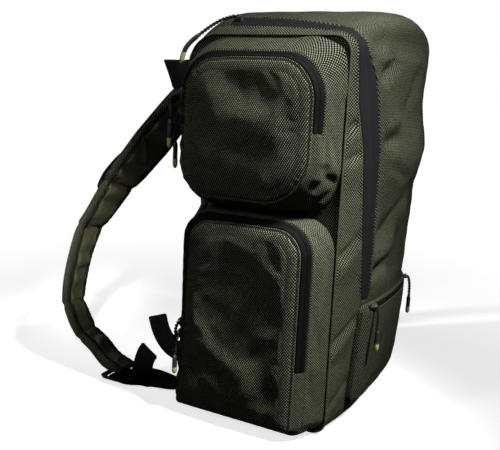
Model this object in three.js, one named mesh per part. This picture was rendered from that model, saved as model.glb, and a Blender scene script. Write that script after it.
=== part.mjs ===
// A rucksack for a bait boat: a tall hollow body with two pockets on one side, a pocket on the front,
// a wide zip up the front edge and over the top, and two padded shoulder straps on the back.
// Millimetres. +Z is up, +Y is towards the wearer, and the pocketed side panel is at -X.
// The origin is the middle of the base.
import * as THREE from 'three';
import { mergeVertices } from 'three/addons/utils/BufferGeometryUtils.js';

// Driving sizes
const GAP = 0.3;
const HALF_WIDTH = 180;
const BODY_WALL = 3;
const POCKET_WALL = 2;
const WEBBING_THICK = 2;

// The side panel's outline, seen along X
const PANEL = {
  front: -130,
  back: 130,
  bottom: 4,
  top: 590,
  radius: { frontTop: 24, backTop: 48, backBottom: 24, frontBottom: 22 },
};

// How far the front swells past the side panel's edge, and how far its far edge is tucked in
const FRONT_SWELL = [
  { z: 0, swell: 8, farTuck: 20 },
  { z: 60, swell: 16, farTuck: 22 },
  { z: 200, swell: 31, farTuck: 18 },
  { z: 290, swell: 40, farTuck: 6 },
  { z: 420, swell: 48, farTuck: 0 },
  { z: 560, swell: 50, farTuck: 0 },
];
const TOP_SWELL = 48;
const BACK_SWELL = 14;
const BOTTOM_SWELL = 8;
const FAR_PANEL_SWELL = 10;

// The swell dies away towards each side panel as a power of the distance from the middle
const NEAR_POWER = 2.6;
const FAR_POWER = 2;
const BACK_POWER = 4;
const CORNER_POWER = 0.55;

// The back edge of the side panel is drawn in between the two pockets
const PINCH = { z: 334, depth: 38, reach: 28 };

// The main zip runs from low on the front to the back of the top, between two lines round the body. place
// counts round the outline, outer and inner are across the body. The panel's cloth ends along the outer one.
const MAIN_ZIP = { frontEnd: 204, backEnd: 80, sliderPlace: 2.93 };
const ZIP_LINES = [
  { place: 0, outer: -118, inner: -92 },
  { place: 0.33, outer: -119, inner: -94 },
  { place: 0.42, outer: -128, inner: -103 },
  { place: 0.57, outer: -140, inner: -111 },
  { place: 0.76, outer: -151, inner: -118 },
  { place: 0.88, outer: -164, inner: -129 },
  { place: 1, outer: -169, inner: -136 },
  { place: 2, outer: -169, inner: -136 },
  { place: 2.25, outer: -163, inner: -130 },
  { place: 2.6, outer: -157, inner: -124 },
  { place: 3, outer: -157, inner: -124 },
  { place: 6, outer: -155, inner: -124 },
  { place: 7, outer: -140, inner: -110 },
  { place: 8, outer: -118, inner: -92 },
];

// A zip's tape sits inside the wall, with its coil as a ridge along the middle
const TAPE = { outerInset: 0.5, innerInset: 1.9, coilWidth: 5, coilRise: 1.2, slope: 0.8 };
const POCKET_COIL_RISE = 0.84;
const MAIN_TAPE_WIDTH = 33;

// Side pockets: outline on the side panel, depth, how far the face leans forwards, how far its front edge
// slants back, how far the back edge stands out at the bottom, and the height where the zip's ends stop
const UPPER_POCKET = {
  front: -117,
  back: 122,
  bottom: 343,
  top: 567,
  radius: { frontTop: 50, backTop: 54, backBottom: 64, frontBottom: 48 },
  depth: 56,
  lean: 2,
  slant: 11,
  flare: 0,
  zipEnd: 457,
  folds: [
    { y: -10, z: 508, angle: 30, length: 45, width: 24, depth: 5 },
    { y: -20, z: 425, angle: 5, length: 60, width: 26, depth: 4 },
    { y: -39, z: 378, angle: 80, length: 18, width: 12, depth: 3 },
  ],
};
const LOWER_POCKET = {
  front: -117,
  back: 103,
  bottom: 7,
  top: 331,
  radius: { frontTop: 36, backTop: 44, backBottom: 16, frontBottom: 22 },
  depth: 60,
  lean: 3,
  slant: 16,
  flare: 15,
  zipEnd: 113,
  folds: [
    { y: -32, z: 225, angle: 100, length: 80, width: 18, depth: 7 },
    { y: -64, z: 176, angle: 130, length: 38, width: 13, depth: -5 },
    { y: 6, z: 45, angle: 90, length: 24, width: 16, depth: 5 },
  ],
};

// The section of a side pocket, from where it is sewn on to its rolled face edge:
// out is a share of the depth, inset is measured from the outline
const POCKET_SECTION = [
  { out: 0, inset: 0 },
  { out: 0.42, inset: -1 },
  { out: 0.6, inset: 1 },
  { out: 0.82, inset: 10 },
  { out: 0.91, inset: 15 },
  { out: 0.96, inset: 24 },
];
const POCKET_ZIP_ROW = 2;
const FACE_RINGS = [0.75, 0.5, 0.25, 0];

// The front pocket is a shallow one that gets shallower towards the far side, with its zip along the top edge
const FRONT_POCKET = {
  front: -122,
  back: 150,
  bottom: 30,
  top: 197,
  radius: { frontTop: 12, backTop: 12, backBottom: 18, frontBottom: 18 },
  depth: 15,
  farShare: 0.5,
  clear: 0.8,
  section: [
    { out: 0, inset: 0 },
    { out: 0.4, inset: 1 },
    { out: 0.55, inset: 2 },
    { out: 0.8, inset: 9 },
    { out: 0.95, inset: 16 },
  ],
};

// Shoulder straps, as stations of the middle of the pad from the top of the back panel downwards, with the
// pad's width and how far it rolls about its own length, in degrees
const STRAP = { thick: 18, round: 6 };
const STRAP_LEFT = [
  { x: -72, y: 152.7, z: 574, width: 72, roll: 0 },
  { x: -72, y: 152.7, z: 546, width: 72, roll: 0 },
  { x: -74, y: 162, z: 526, width: 72, roll: 6 },
  { x: -80, y: 193, z: 496, width: 73, roll: 18 },
  { x: -99, y: 256, z: 413, width: 73, roll: 32 },
  { x: -111, y: 296, z: 360, width: 70, roll: 27 },
  { x: -130, y: 341, z: 297, width: 63, roll: 12 },
  { x: -153, y: 377, z: 206, width: 55, roll: 0 },
  { x: -167, y: 379, z: 129, width: 50, roll: 0 },
  { x: -176, y: 356, z: 83, width: 48, roll: 0 },
  { x: -183, y: 303, z: 54, width: 46, roll: 0 },
  { x: -186, y: 271, z: 33, width: 46, roll: 0 },
  { x: -187, y: 238, z: 26.6, width: 46, roll: 0 },
];
const STRAP_RIGHT = [
  { x: 72, y: 152.7, z: 574, width: 72, roll: 0 },
  { x: 72, y: 152.7, z: 546, width: 72, roll: 0 },
  { x: 74, y: 161, z: 526, width: 72, roll: 0 },
  { x: 80, y: 187, z: 491, width: 72, roll: 0 },
  { x: 95, y: 232, z: 410, width: 71, roll: 0 },
  { x: 110, y: 259, z: 325, width: 67, roll: 0 },
  { x: 122, y: 268, z: 240, width: 60, roll: 0 },
  { x: 133, y: 262, z: 155, width: 53, roll: 0 },
  { x: 140, y: 251, z: 100, width: 49, roll: 0 },
  { x: 145, y: 230, z: 58, width: 46, roll: 0 },
  { x: 147, y: 207, z: 33, width: 46, roll: 0 },
  { x: 148, y: 174, z: 27, width: 46, roll: 0 },
];
const KEEPER = { width: 58, from: 0.394, to: 0.477, standOff: 6, steps: 6 };

// Ladder lock: a frame with two slots, lying flat
const LOCK = { width: 54, length: 50, thick: 5, slot: 9, slotWidth: 42, bar: 5, corner: 8 };
const LOCK_LEFT = { x: -187, y: 254, z: 11 };
const LOCK_RIGHT = { x: 148, y: 190, z: 11 };
const LOWER_WEBBING_WIDTH = 38;
// Between the bag and the lock the webbing may tilt, in degrees, with its outer edge down
const SLACK_LEFT = { share: 0.55, across: 0.6, z: 14, tilt: 35 };
const SLACK_RIGHT = { share: 0.4, across: 0.5, z: 7, tilt: 0 };

// The webbing's way round the lock's middle bar, from the middle of the lock
const LOCK_ROUTE = [
  { y: -29, z: -5 },
  { y: -5, z: -4.7 },
  { y: 2.5, z: -4.5 },
  { y: 7, z: -1.5 },
  { y: 7, z: 1.5 },
  { y: 2.5, z: 4.5 },
  { y: -5, z: 4.7 },
  { y: -16, z: 5 },
];

// Where the free end of each lower webbing goes after it has turned round the lock's bar. twist turns its
// width from across the bag to front and back.
const FREE_END_LEFT = [
  { x: -188.5, y: 214, z: 18, twist: 0 },
  { x: -190, y: 204, z: 24, twist: 0.35 },
  { x: -193, y: 199, z: 36, twist: 0.8 },
  { x: -195, y: 196, z: 50, twist: 1 },
  { x: -195, y: 191, z: 64, twist: 1 },
  { x: -194, y: 185, z: 74, twist: 1 },
];
const FREE_END_RIGHT = [
  { x: 146, y: 152, z: 22, twist: 0 },
  { x: 143, y: 146, z: 36, twist: 0 },
  { x: 139, y: 144, z: 60, twist: 0 },
  { x: 134, y: 144, z: 88, twist: 0 },
];
const ANCHOR_LEFT = { x: -160, y: 131.6, z: 12 };
const ANCHOR_RIGHT = { x: 158, y: 135.3, z: 12 };

// The haul handle is a wide webbing from one side of the back panel to the other. lean turns its width from
// upright to slanting outwards, in degrees.
const HANDLE = { width: 46, thick: 3 };
const HANDLE_HALF = [
  { x: -136, y: 139.5, z: 532, lean: 0 },
  { x: -137, y: 152, z: 532, lean: 4 },
  { x: -138, y: 180, z: 529, lean: 22 },
  { x: -126, y: 203, z: 530, lean: 26 },
  { x: -100, y: 222, z: 533, lean: 22 },
  { x: -50, y: 230, z: 535, lean: 20 },
];

// A webbing end sewn into the lower back edge, with its width up that edge
const WAIST_WIDTH = 36;
const WAIST_WEBBING = [
  { x: -163, y: 135.3, z: 70 },
  { x: -163.5, y: 146, z: 70 },
  { x: -165, y: 165, z: 78 },
  { x: -167, y: 181, z: 101 },
  { x: -168, y: 190, z: 127 },
];

const PIPING_RADIUS = 2.6;
const SLIDER = {
  length: 15,
  width: 10,
  tail: 6,
  height: 5,
  ringClear: 2,
};
const PULL_SIDES = 6;
const PULL_STEPS = 14;

// The main zip's pull hangs over the back corner of the side panel
const MAIN_PULL = [
  { x: -142, y: 74.5, z: 620.9 },
  { x: -153, y: 93, z: 613 },
  { x: -171, y: 114, z: 594 },
  { x: -184, y: 134, z: 571 },
  { x: -187, y: 142, z: 546 },
];

// The thickness of a zip pull along its length: a doubled cord, then a moulded grip with a rounded tip
const PULL_PROFILE = [
  { at: 0, radius: 1.4 },
  { at: 0.1, radius: 1.9 },
  { at: 0.52, radius: 1.9 },
  { at: 0.56, radius: 3.3 },
  { at: 0.88, radius: 3.3 },
  { at: 0.96, radius: 3 },
  { at: 1, radius: 1.6 },
];

const CLOTH = { color: 0x2b2e22, roughness: 0.8, metalness: 0 };
const LINING = { color: 0x4a4a38, roughness: 0.6, metalness: 0 };
const TAPE_CLOTH = { color: 0x0d0d0e, roughness: 0.7, metalness: 0 };
const MOULDED = { color: 0x0b0b0c, roughness: 0.3, metalness: 0 };

const lerp = THREE.MathUtils.lerp;

// One row between two rows of a table, found by the table's key column
function lookUp(table, key, value) {
  const last = table.length - 1;
  const after = table.findIndex((row) => row[key] >= value);
  if (after === 0) return table[0];
  if (after < 0) return table[last];
  const low = table[after - 1];
  const high = table[after];
  const share = (value - low[key]) / (high[key] - low[key]);
  return Object.fromEntries(Object.keys(low).map((name) => [name, lerp(low[name], high[name], share)]));
}

// A point of a rounded rectangle. The whole numbers of u are the ends of its edges and corners:
// 0 to 1 is the front edge going up, 2 to 3 the top going back, 4 to 5 the back edge going down,
// 6 to 7 the bottom going forwards, and the corners lie between them.
function outline(box, u, inset) {
  const round = (name) => Math.max(box.radius[name] - inset, 1);
  const front = box.front + inset;
  const back = box.back - inset;
  const low = box.bottom + inset;
  const high = box.top - inset;
  const part = Math.floor(u) % 8;
  const share = u - Math.floor(u);
  const [ft, bt, bb, fb] = ['frontTop', 'backTop', 'backBottom', 'frontBottom'].map(round);
  const edges = {
    0: [front, low + fb, front, high - ft, -1, 0],
    2: [front + ft, high, back - bt, high, 0, 1],
    4: [back, high - bt, back, low + bb, 1, 0],
    6: [back - bb, low, front + fb, low, 0, -1],
  };
  const corners = {
    1: [front + ft, high - ft, ft, Math.PI],
    3: [back - bt, high - bt, bt, Math.PI / 2],
    5: [back - bb, low + bb, bb, 0],
    7: [front + fb, low + fb, fb, -Math.PI / 2],
  };
  if (part in edges) {
    const [a0, b0, a1, b1, na, nb] = edges[part];
    return { a: lerp(a0, a1, share), b: lerp(b0, b1, share), na, nb };
  }
  const [a, b, radius, start] = corners[part];
  const angle = start - (share * Math.PI) / 2;
  const na = Math.cos(angle);
  const nb = Math.sin(angle);
  return { a: a + na * radius, b: b + nb * radius, na, nb };
}

// Places round an outline: a number of steps for each edge and corner, and any further places
function places(edgeSteps, cornerSteps, further = []) {
  const list = [...further];
  for (let part = 0; part < 8; part += 1) {
    const steps = part % 2 === 0 ? edgeSteps[part / 2] : cornerSteps;
    for (let i = 0; i < steps; i += 1) list.push(part + i / steps);
  }
  const apart = 0.02;
  const sorted = list.sort((p, q) => p - q);
  return sorted.filter((u) => further.includes(u) || !further.some((f) => Math.abs(f - u) < apart));
}

// The place on an upright edge, 0 to 1, at a height
function edgePlace(box, height) {
  const low = box.bottom + box.radius.frontBottom;
  const high = box.top - box.radius.frontTop;
  return (height - low) / (high - low);
}

function fromTriangles(points) {
  const geometry = new THREE.BufferGeometry();
  geometry.setAttribute('position', new THREE.Float32BufferAttribute(points.flatMap((p) => p.toArray()), 3));
  const merged = mergeVertices(geometry, 1e-3);
  const corner = merged.index.array;
  const kept = [];
  for (let i = 0; i < corner.length; i += 3) {
    const [a, b, c] = corner.slice(i, i + 3);
    if (a !== b && b !== c && c !== a) kept.push(a, b, c);
  }
  merged.setIndex(volumeOf(merged, kept) < 0 ? kept.reverse() : kept);
  merged.computeVertexNormals();
  return merged;
}

function volumeOf(geometry, index) {
  const at = (i) => new THREE.Vector3().fromBufferAttribute(geometry.attributes.position, i);
  let sum = 0;
  for (let i = 0; i < index.length; i += 3) {
    sum += at(index[i]).dot(at(index[i + 1]).cross(at(index[i + 2])));
  }
  return sum / 6;
}

// A wall between two grids of points, rows by columns, that closes round its columns or stays open.
// Cells that are not kept are holes, and every free edge of the wall gets a rim.
function wall(outer, inner, closed, keep = () => true) {
  const rows = outer.length - 1;
  const columns = outer[0].length - (closed ? 0 : 1);
  const triangles = [];
  const quad = (a, b, c, d) => triangles.push(a, b, c, a, c, d);
  const kept = (j, i) => {
    if (j < 0 || j >= rows) return false;
    if (!closed && (i < 0 || i >= columns)) return false;
    return keep(j, (i + columns) % columns);
  };
  for (let j = 0; j < rows; j += 1) {
    for (let i = 0; i < columns; i += 1) {
      if (!kept(j, i)) continue;
      const k = (i + 1) % outer[0].length;
      quad(outer[j][i], outer[j][k], outer[j + 1][k], outer[j + 1][i]);
      quad(inner[j][i], inner[j + 1][i], inner[j + 1][k], inner[j][k]);
      if (!kept(j - 1, i)) quad(outer[j][k], outer[j][i], inner[j][i], inner[j][k]);
      if (!kept(j + 1, i)) quad(outer[j + 1][i], outer[j + 1][k], inner[j + 1][k], inner[j + 1][i]);
      if (!kept(j, i - 1)) quad(outer[j][i], outer[j + 1][i], inner[j + 1][i], inner[j][i]);
      if (!kept(j, i + 1)) quad(outer[j + 1][k], outer[j][k], inner[j][k], inner[j + 1][k]);
    }
  }
  return fromTriangles(triangles);
}

// A solid through closed loops of points, with both ends filled, or joined end to end as a ring
function throughLoops(loops, ring = false) {
  const count = loops[0].length;
  const triangles = [];
  const steps = ring ? loops.length : loops.length - 1;
  for (let j = 0; j < steps; j += 1) {
    const here = loops[j];
    const next = loops[(j + 1) % loops.length];
    for (let i = 0; i < count; i += 1) {
      const k = (i + 1) % count;
      triangles.push(here[i], here[k], next[k], here[i], next[k], next[i]);
    }
  }
  if (!ring) {
    const first = loops[0];
    const last = loops[loops.length - 1];
    for (let i = 1; i < count - 1; i += 1) {
      triangles.push(first[0], first[i + 1], first[i], last[0], last[i], last[i + 1]);
    }
  }
  return fromTriangles(triangles);
}

const pointOf = (row) => new THREE.Vector3(row.x, row.y, row.z);
const towards = (points, centre, share) => points.map((p) => p.clone().lerp(centre, 1 - share));

// Frames along a smooth curve through the stations of a table, with the table's columns carried along. The
// across direction of a frame stays as near as it can to the one given, which may depend on the columns.
function route(stations, stepsPerSpan, acrossOf) {
  const curve = new THREE.CatmullRomCurve3(stations.map(pointOf), false, 'centripetal');
  const spans = stations.length - 1;
  const table = stations.map((row, i) => ({ ...row, place: i }));
  return Array.from({ length: spans * stepsPerSpan + 1 }, (_, i) => {
    const share = i / (spans * stepsPerSpan);
    const row = lookUp(table, 'place', share * spans);
    const along = curve.getTangent(share);
    const across = acrossOf(row);
    const side = across.addScaledVector(along, -across.dot(along)).normalize();
    if (row.roll) side.applyAxisAngle(along, THREE.MathUtils.degToRad(row.roll));
    return { at: curve.getPoint(share), side, face: along.clone().cross(side), row };
  });
}

// A band of a width and thickness carried along frames, with its long edges cut off at the corners
function band(frames, widthOf, thick, cut) {
  return throughLoops(frames.map(({ at, side, face, row }) => {
    const w = widthOf(row) / 2;
    const t = thick / 2;
    const section = cut === 0 ? [[-w, -t], [w, -t], [w, t], [-w, t]] : [
      [-w, -t + cut], [-w + cut, -t], [w - cut, -t], [w, -t + cut],
      [w, t - cut], [w - cut, t], [-w + cut, t], [-w, t - cut],
    ];
    return section.map(([a, b]) => at.clone().addScaledVector(side, a).addScaledVector(face, b));
  }));
}

// The outer surface of the body, or the inner one at an inset
function bodyPoint(u, x, inset) {
  const edge = outline(PANEL, u, inset);
  const row = lookUp(FRONT_SWELL, 'z', edge.b);
  const side = Math.min(Math.abs(x) / HALF_WIDTH, 1);
  const near = x < 0 ? 1 : 0;
  const share = 1 - side ** (near ? NEAR_POWER : FAR_POWER);
  const pinch = PINCH.depth * Math.exp(-(((edge.b - PINCH.z) / PINCH.reach) ** 2));
  const front = row.swell * share - (1 - near) * row.farTuck * side ** 4;
  const back = BACK_SWELL * (1 - side ** BACK_POWER) - near * pinch * side ** 4;
  const upright = edge.na < 0 ? front : back;
  const level = edge.nb > 0 ? TOP_SWELL * share : BOTTOM_SWELL * (1 - side ** 2);
  const move = (way, swell) => Math.sign(way) * Math.abs(way) ** CORNER_POWER * swell;
  const z = edge.b + move(edge.nb, level);
  return new THREE.Vector3(x, edge.a + move(edge.na, upright), Math.max(z, inset));
}

const zipFrontPlace = edgePlace(PANEL, MAIN_ZIP.frontEnd);
const topLength = PANEL.back - PANEL.front - PANEL.radius.frontTop - PANEL.radius.backTop;
const zipBackPlace = 2 + (MAIN_ZIP.backEnd - PANEL.front - PANEL.radius.frontTop) / topLength;
const bodyPlaces = places([8, 5, 9, 6], 3, [zipFrontPlace, zipBackPlace]);
const zipLine = (u) => lookUp(ZIP_LINES, 'place', u);
const bodyRow = (xOf, inset) => bodyPlaces.map((u) => bodyPoint(u, xOf(u), inset));
const panelCentre = (x) => new THREE.Vector3(x, 0, (PANEL.top + PANEL.bottom) / 2);

// The body, closed on the plain side and open on the pocketed side, with a step where the zip lies
function mainShell() {
  const shares = [0, 0.13, 0.27, 0.41, 0.55, 0.69, 0.82, 0.93, 1];
  const rings = [0.7, 0.35, 0];
  const grid = (inset) => {
    const last = HALF_WIDTH - inset;
    const rows = [bodyRow((u) => zipLine(u).outer + GAP, inset)];
    shares.forEach((share) => rows.push(bodyRow((u) => lerp(zipLine(u).inner, last, share), inset)));
    const edge = rows[rows.length - 1];
    rings.forEach((share) => {
      const out = last + FAR_PANEL_SWELL * (1 - share ** 2);
      rows.push(towards(edge, panelCentre(last), share).map((p) => p.setX(out)));
    });
    return rows;
  };
  const inZip = (i) => bodyPlaces[i] >= zipFrontPlace && bodyPlaces[i] < zipBackPlace;
  return wall(grid(0), grid(BODY_WALL), true, (j, i) => j > 0 || !inZip(i));
}

// The pocketed side panel, with the strip of cloth that turns round its edge to meet the zip
function sidePanel() {
  const rings = [0.7, 0.35, 0];
  const grid = (inset) => {
    const edge = -HALF_WIDTH + inset;
    const rows = [0, 0.5, 1].map((share) => bodyRow((u) => lerp(zipLine(u).outer, edge, share), inset));
    const corner = rows[2];
    rings.forEach((share) => rows.push(towards(corner, panelCentre(edge), share)));
    return rows;
  };
  return wall(grid(0), grid(BODY_WALL), true);
}

// The corded edge runs just outside the side panel's corner
function piping() {
  const sides = 6;
  const off = (PIPING_RADIUS + 3 * GAP) / Math.SQRT2;
  const loops = bodyPlaces.map((u) => {
    const corner = bodyPoint(u, -HALF_WIDTH, 0);
    const { na, nb } = outline(PANEL, u, 0);
    const out = new THREE.Vector3(0, na, nb);
    const centre = corner.addScaledVector(out, off).setX(-HALF_WIDTH - off);
    centre.z = Math.max(centre.z, PIPING_RADIUS + GAP);
    return Array.from({ length: sides }, (_, i) => {
      const angle = (2 * Math.PI * i) / sides;
      const ring = out.clone().multiplyScalar(PIPING_RADIUS * Math.cos(angle));
      return centre.clone().add(ring).setX(centre.x + PIPING_RADIUS * Math.sin(angle));
    });
  });
  return throughLoops(loops, true);
}

// Shares across a zip's tape, and how far each stands up: flat, up the coil, along it and down again
function tapeProfile(width) {
  const half = TAPE.coilWidth / 2 / width;
  const slope = TAPE.slope / width;
  return [
    { share: 0, rise: 0 },
    { share: 0.5 - half - slope, rise: 0 },
    { share: 0.5 - half, rise: TAPE.coilRise },
    { share: 0.5 + half, rise: TAPE.coilRise },
    { share: 0.5 + half + slope, rise: 0 },
    { share: 1, rise: 0 },
  ];
}

function mainZip() {
  const uprightLength = PANEL.top - PANEL.bottom - PANEL.radius.frontTop - PANEL.radius.frontBottom;
  const first = zipFrontPlace + GAP / uprightLength;
  const last = zipBackPlace - GAP / topLength;
  const between = bodyPlaces.filter((u) => u > zipFrontPlace && u < zipBackPlace);
  const list = [first, ...between, last];
  const grid = (inset, rising) => tapeProfile(MAIN_TAPE_WIDTH).map(({ share, rise }) => list.map((u) => {
    const { outer, inner } = zipLine(u);
    const x = lerp(outer + 2 * GAP, inner - 2 * GAP, share);
    return bodyPoint(u, x, inset - (rising ? rise : 0));
  }));
  return wall(grid(TAPE.outerInset, true), grid(TAPE.innerInset, false), false);
}

// How far the folds of a pocket's face push it in at a place
function foldDepth(folds, a, b) {
  return folds.reduce((sum, fold) => {
    const angle = THREE.MathUtils.degToRad(fold.angle);
    const da = a - fold.y;
    const db = b - fold.z;
    const along = da * Math.cos(angle) + db * Math.sin(angle);
    const across = db * Math.cos(angle) - da * Math.sin(angle);
    const fade = Math.exp(-((along / fold.length) ** 4));
    return sum + fold.depth * fade * Math.exp(-((across / fold.width) ** 2));
  }, 0);
}

// A side pocket's point: a distance out from the panel, a place round the outline and an inset
function pocketPoint(pocket, u, out, inset) {
  const { a, b } = outline(pocket, u, inset);
  const low = 1 - (b - pocket.bottom) / (pocket.top - pocket.bottom);
  const behind = (a - pocket.front) / (pocket.back - pocket.front);
  const forward = pocket.lean - pocket.slant * (1 - behind);
  const y = a + pocket.flare * low * behind - forward * (out / pocket.depth);
  return new THREE.Vector3(-HALF_WIDTH - GAP - out, y, b);
}

// The place on the back edge, 4 to 5, at a height
function backPlace(box, height) {
  const low = box.bottom + box.radius.backBottom;
  const high = box.top - box.radius.backTop;
  return 5 - (height - low) / (high - low);
}

// Where a zip's tape starts and stops round a pocket, both at the same height
const pocketZip = (pocket) => ({
  first: edgePlace(pocket, pocket.zipEnd),
  last: backPlace(pocket, pocket.zipEnd),
});

function sidePocket(pocket) {
  const { first, last } = pocketZip(pocket);
  const list = places([6, 5, 6, 5], 4, [first, last]);
  const face = POCKET_SECTION[POCKET_SECTION.length - 1];
  const centre = new THREE.Vector3(0, (pocket.front + pocket.back) / 2, (pocket.top + pocket.bottom) / 2);
  const grid = (thick) => {
    const rows = POCKET_SECTION.map(({ out, inset }) => list.map((u) => {
      const depth = out === 0 ? 0 : pocket.depth * out - thick;
      return pocketPoint(pocket, u, depth, inset + thick);
    }));
    const rim = rows[rows.length - 1];
    FACE_RINGS.forEach((share) => {
      const out = pocket.depth * lerp(1, face.out, share ** 2) - thick;
      rows.push(towards(rim, centre, share).map((p) => {
        const dent = foldDepth(pocket.folds, p.y, p.z) * (1 - share ** 4);
        return p.setX(-HALF_WIDTH - GAP - out + dent);
      }));
    });
    return rows;
  };
  const inZip = (i) => list[i] >= first && list[i] < last;
  return wall(grid(0), grid(POCKET_WALL), true, (j, i) => j !== POCKET_ZIP_ROW || !inZip(i));
}

// A point of a pocket's zip: a share of the way across its tape, at a depth below the pocket's surface
function pocketZipPoint(pocket, u, share, sunk) {
  const from = POCKET_SECTION[POCKET_ZIP_ROW];
  const to = POCKET_SECTION[POCKET_ZIP_ROW + 1];
  const out = pocket.depth * lerp(from.out, to.out, share);
  return pocketPoint(pocket, u, out - sunk, lerp(from.inset, to.inset, share) + sunk);
}

function pocketZipTape(pocket) {
  const { first, last } = pocketZip(pocket);
  const list = places([6, 5, 6, 5], 4).filter((u) => u > first && u < last);
  const uprightLength = pocket.top - pocket.bottom - pocket.radius.frontTop - pocket.radius.frontBottom;
  const ends = [first + GAP / uprightLength, last - GAP / uprightLength];
  const width = (POCKET_SECTION[POCKET_ZIP_ROW + 1].out - POCKET_SECTION[POCKET_ZIP_ROW].out) * pocket.depth;
  const margin = GAP / width;
  const rows = tapeProfile(width);
  const grid = (sunk, rising) => rows.map(({ share, rise }) => [ends[0], ...list, ends[1]].map((u) => {
    const raised = rising && rise > 0 ? POCKET_COIL_RISE : 0;
    return pocketZipPoint(pocket, u, lerp(margin, 1 - margin, share), sunk - raised);
  }));
  return wall(grid(TAPE.outerInset, true), grid(TAPE.innerInset, false), false);
}

// The front of the body at a place across and up it
function frontFace(x, z) {
  return bodyPoint(THREE.MathUtils.clamp(edgePlace(PANEL, z), 0, 1), x, 0).y;
}

// How far forward the front pocket's surface is, a distance out from the body at its near end
function frontPocketY(x, z, out) {
  const { front, back, farShare, clear } = FRONT_POCKET;
  return frontFace(x, z) - clear - out * lerp(1, farShare, (x - front) / (back - front));
}

function frontPocketPoint(u, out, inset) {
  const { a, b } = outline(FRONT_POCKET, u, inset);
  return new THREE.Vector3(a, frontPocketY(a, b, out), b);
}

const FRONT_ZIP_ROW = 2;
const frontZipFirst = 2;
const frontZipLast = 3;

function frontPocket() {
  const { section, depth } = FRONT_POCKET;
  const list = places([4, 8, 4, 8], 2);
  const centre = new THREE.Vector3(
    (FRONT_POCKET.front + FRONT_POCKET.back) / 2, 0, (FRONT_POCKET.top + FRONT_POCKET.bottom) / 2,
  );
  const grid = (thick) => {
    const rows = section.map(({ out, inset }) => list.map((u) => {
      const height = out === 0 ? 0 : depth * out - thick;
      return frontPocketPoint(u, height, inset + thick);
    }));
    const rim = rows[rows.length - 1];
    FACE_RINGS.slice(1).forEach((share) => {
      rows.push(towards(rim, centre, share).map((p) => {
        return p.setY(frontPocketY(p.x, p.z, depth - thick));
      }));
    });
    return rows;
  };
  const inZip = (i) => list[i] >= frontZipFirst && list[i] < frontZipLast;
  return wall(grid(0), grid(POCKET_WALL), true, (j, i) => j !== FRONT_ZIP_ROW || !inZip(i));
}

function frontZipPoint(u, share, sunk) {
  const from = FRONT_POCKET.section[FRONT_ZIP_ROW];
  const to = FRONT_POCKET.section[FRONT_ZIP_ROW + 1];
  const out = FRONT_POCKET.depth * lerp(from.out, to.out, share);
  return frontPocketPoint(u, out - sunk, lerp(from.inset, to.inset, share) + sunk);
}

function frontZip() {
  const { front, back, radius } = FRONT_POCKET;
  const length = back - front - radius.frontTop - radius.backTop;
  const steps = 8;
  const list = Array.from({ length: steps + 1 }, (_, i) => {
    const share = THREE.MathUtils.clamp(i / steps, GAP / length, 1 - GAP / length);
    return frontZipFirst + share;
  });
  const margin = 0.05;
  const grid = (sunk) => [margin, 0.35, 0.65, 1 - margin].map((share) => list.map(
    (u) => frontZipPoint(u, share, sunk),
  ));
  return wall(grid(TAPE.outerInset), grid(TAPE.innerInset), false);
}

const across = () => new THREE.Vector3(1, 0, 0);
const padWidth = (row) => row.width;
const strapPad = (stations) => band(route(stations, 3, across), padWidth, STRAP.thick, STRAP.round);

// A webbing tab that stands a little off the outer face of a strap, with both ends on it
function keeper(stations) {
  const frames = route(stations, 10, across);
  const seat = STRAP.thick / 2 + 2 * GAP + WEBBING_THICK / 2;
  const tab = Array.from({ length: KEEPER.steps + 1 }, (_, i) => {
    const share = lerp(KEEPER.from, KEEPER.to, i / KEEPER.steps);
    const { at, side, face, row } = frames[Math.round(share * (frames.length - 1))];
    const lift = seat + KEEPER.standOff * Math.sin((Math.PI * i) / KEEPER.steps);
    const outward = face.y > 0 ? lift : -lift;
    return { at: at.clone().addScaledVector(face, outward), side, face, row };
  });
  return band(tab, () => KEEPER.width, WEBBING_THICK, 0);
}

// A ladder lock lies flat: its slots run across the strap, with a bar at each end and one between them
function ladderLock() {
  const { width, length, corner, slot, slotWidth, thick, bar } = LOCK;
  const shape = new THREE.Shape();
  const w = width / 2 - corner;
  const l = length / 2 - corner;
  shape.absarc(w, l, corner, 0, Math.PI / 2);
  shape.absarc(-w, l, corner, Math.PI / 2, Math.PI);
  shape.absarc(-w, -l, corner, Math.PI, 1.5 * Math.PI);
  shape.absarc(w, -l, corner, 1.5 * Math.PI, 2 * Math.PI);
  [-1, 1].forEach((way) => {
    const middle = way * (bar + slot) / 2;
    const hole = new THREE.Path();
    hole.moveTo(-slotWidth / 2, middle - slot / 2);
    hole.lineTo(-slotWidth / 2, middle + slot / 2);
    hole.lineTo(slotWidth / 2, middle + slot / 2);
    hole.lineTo(slotWidth / 2, middle - slot / 2);
    hole.closePath();
    shape.holes.push(hole);
  });
  const geometry = new THREE.ExtrudeGeometry(shape, { depth: thick, bevelEnabled: false, curveSegments: 3 });
  return geometry.translate(0, 0, -thick / 2);
}

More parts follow.
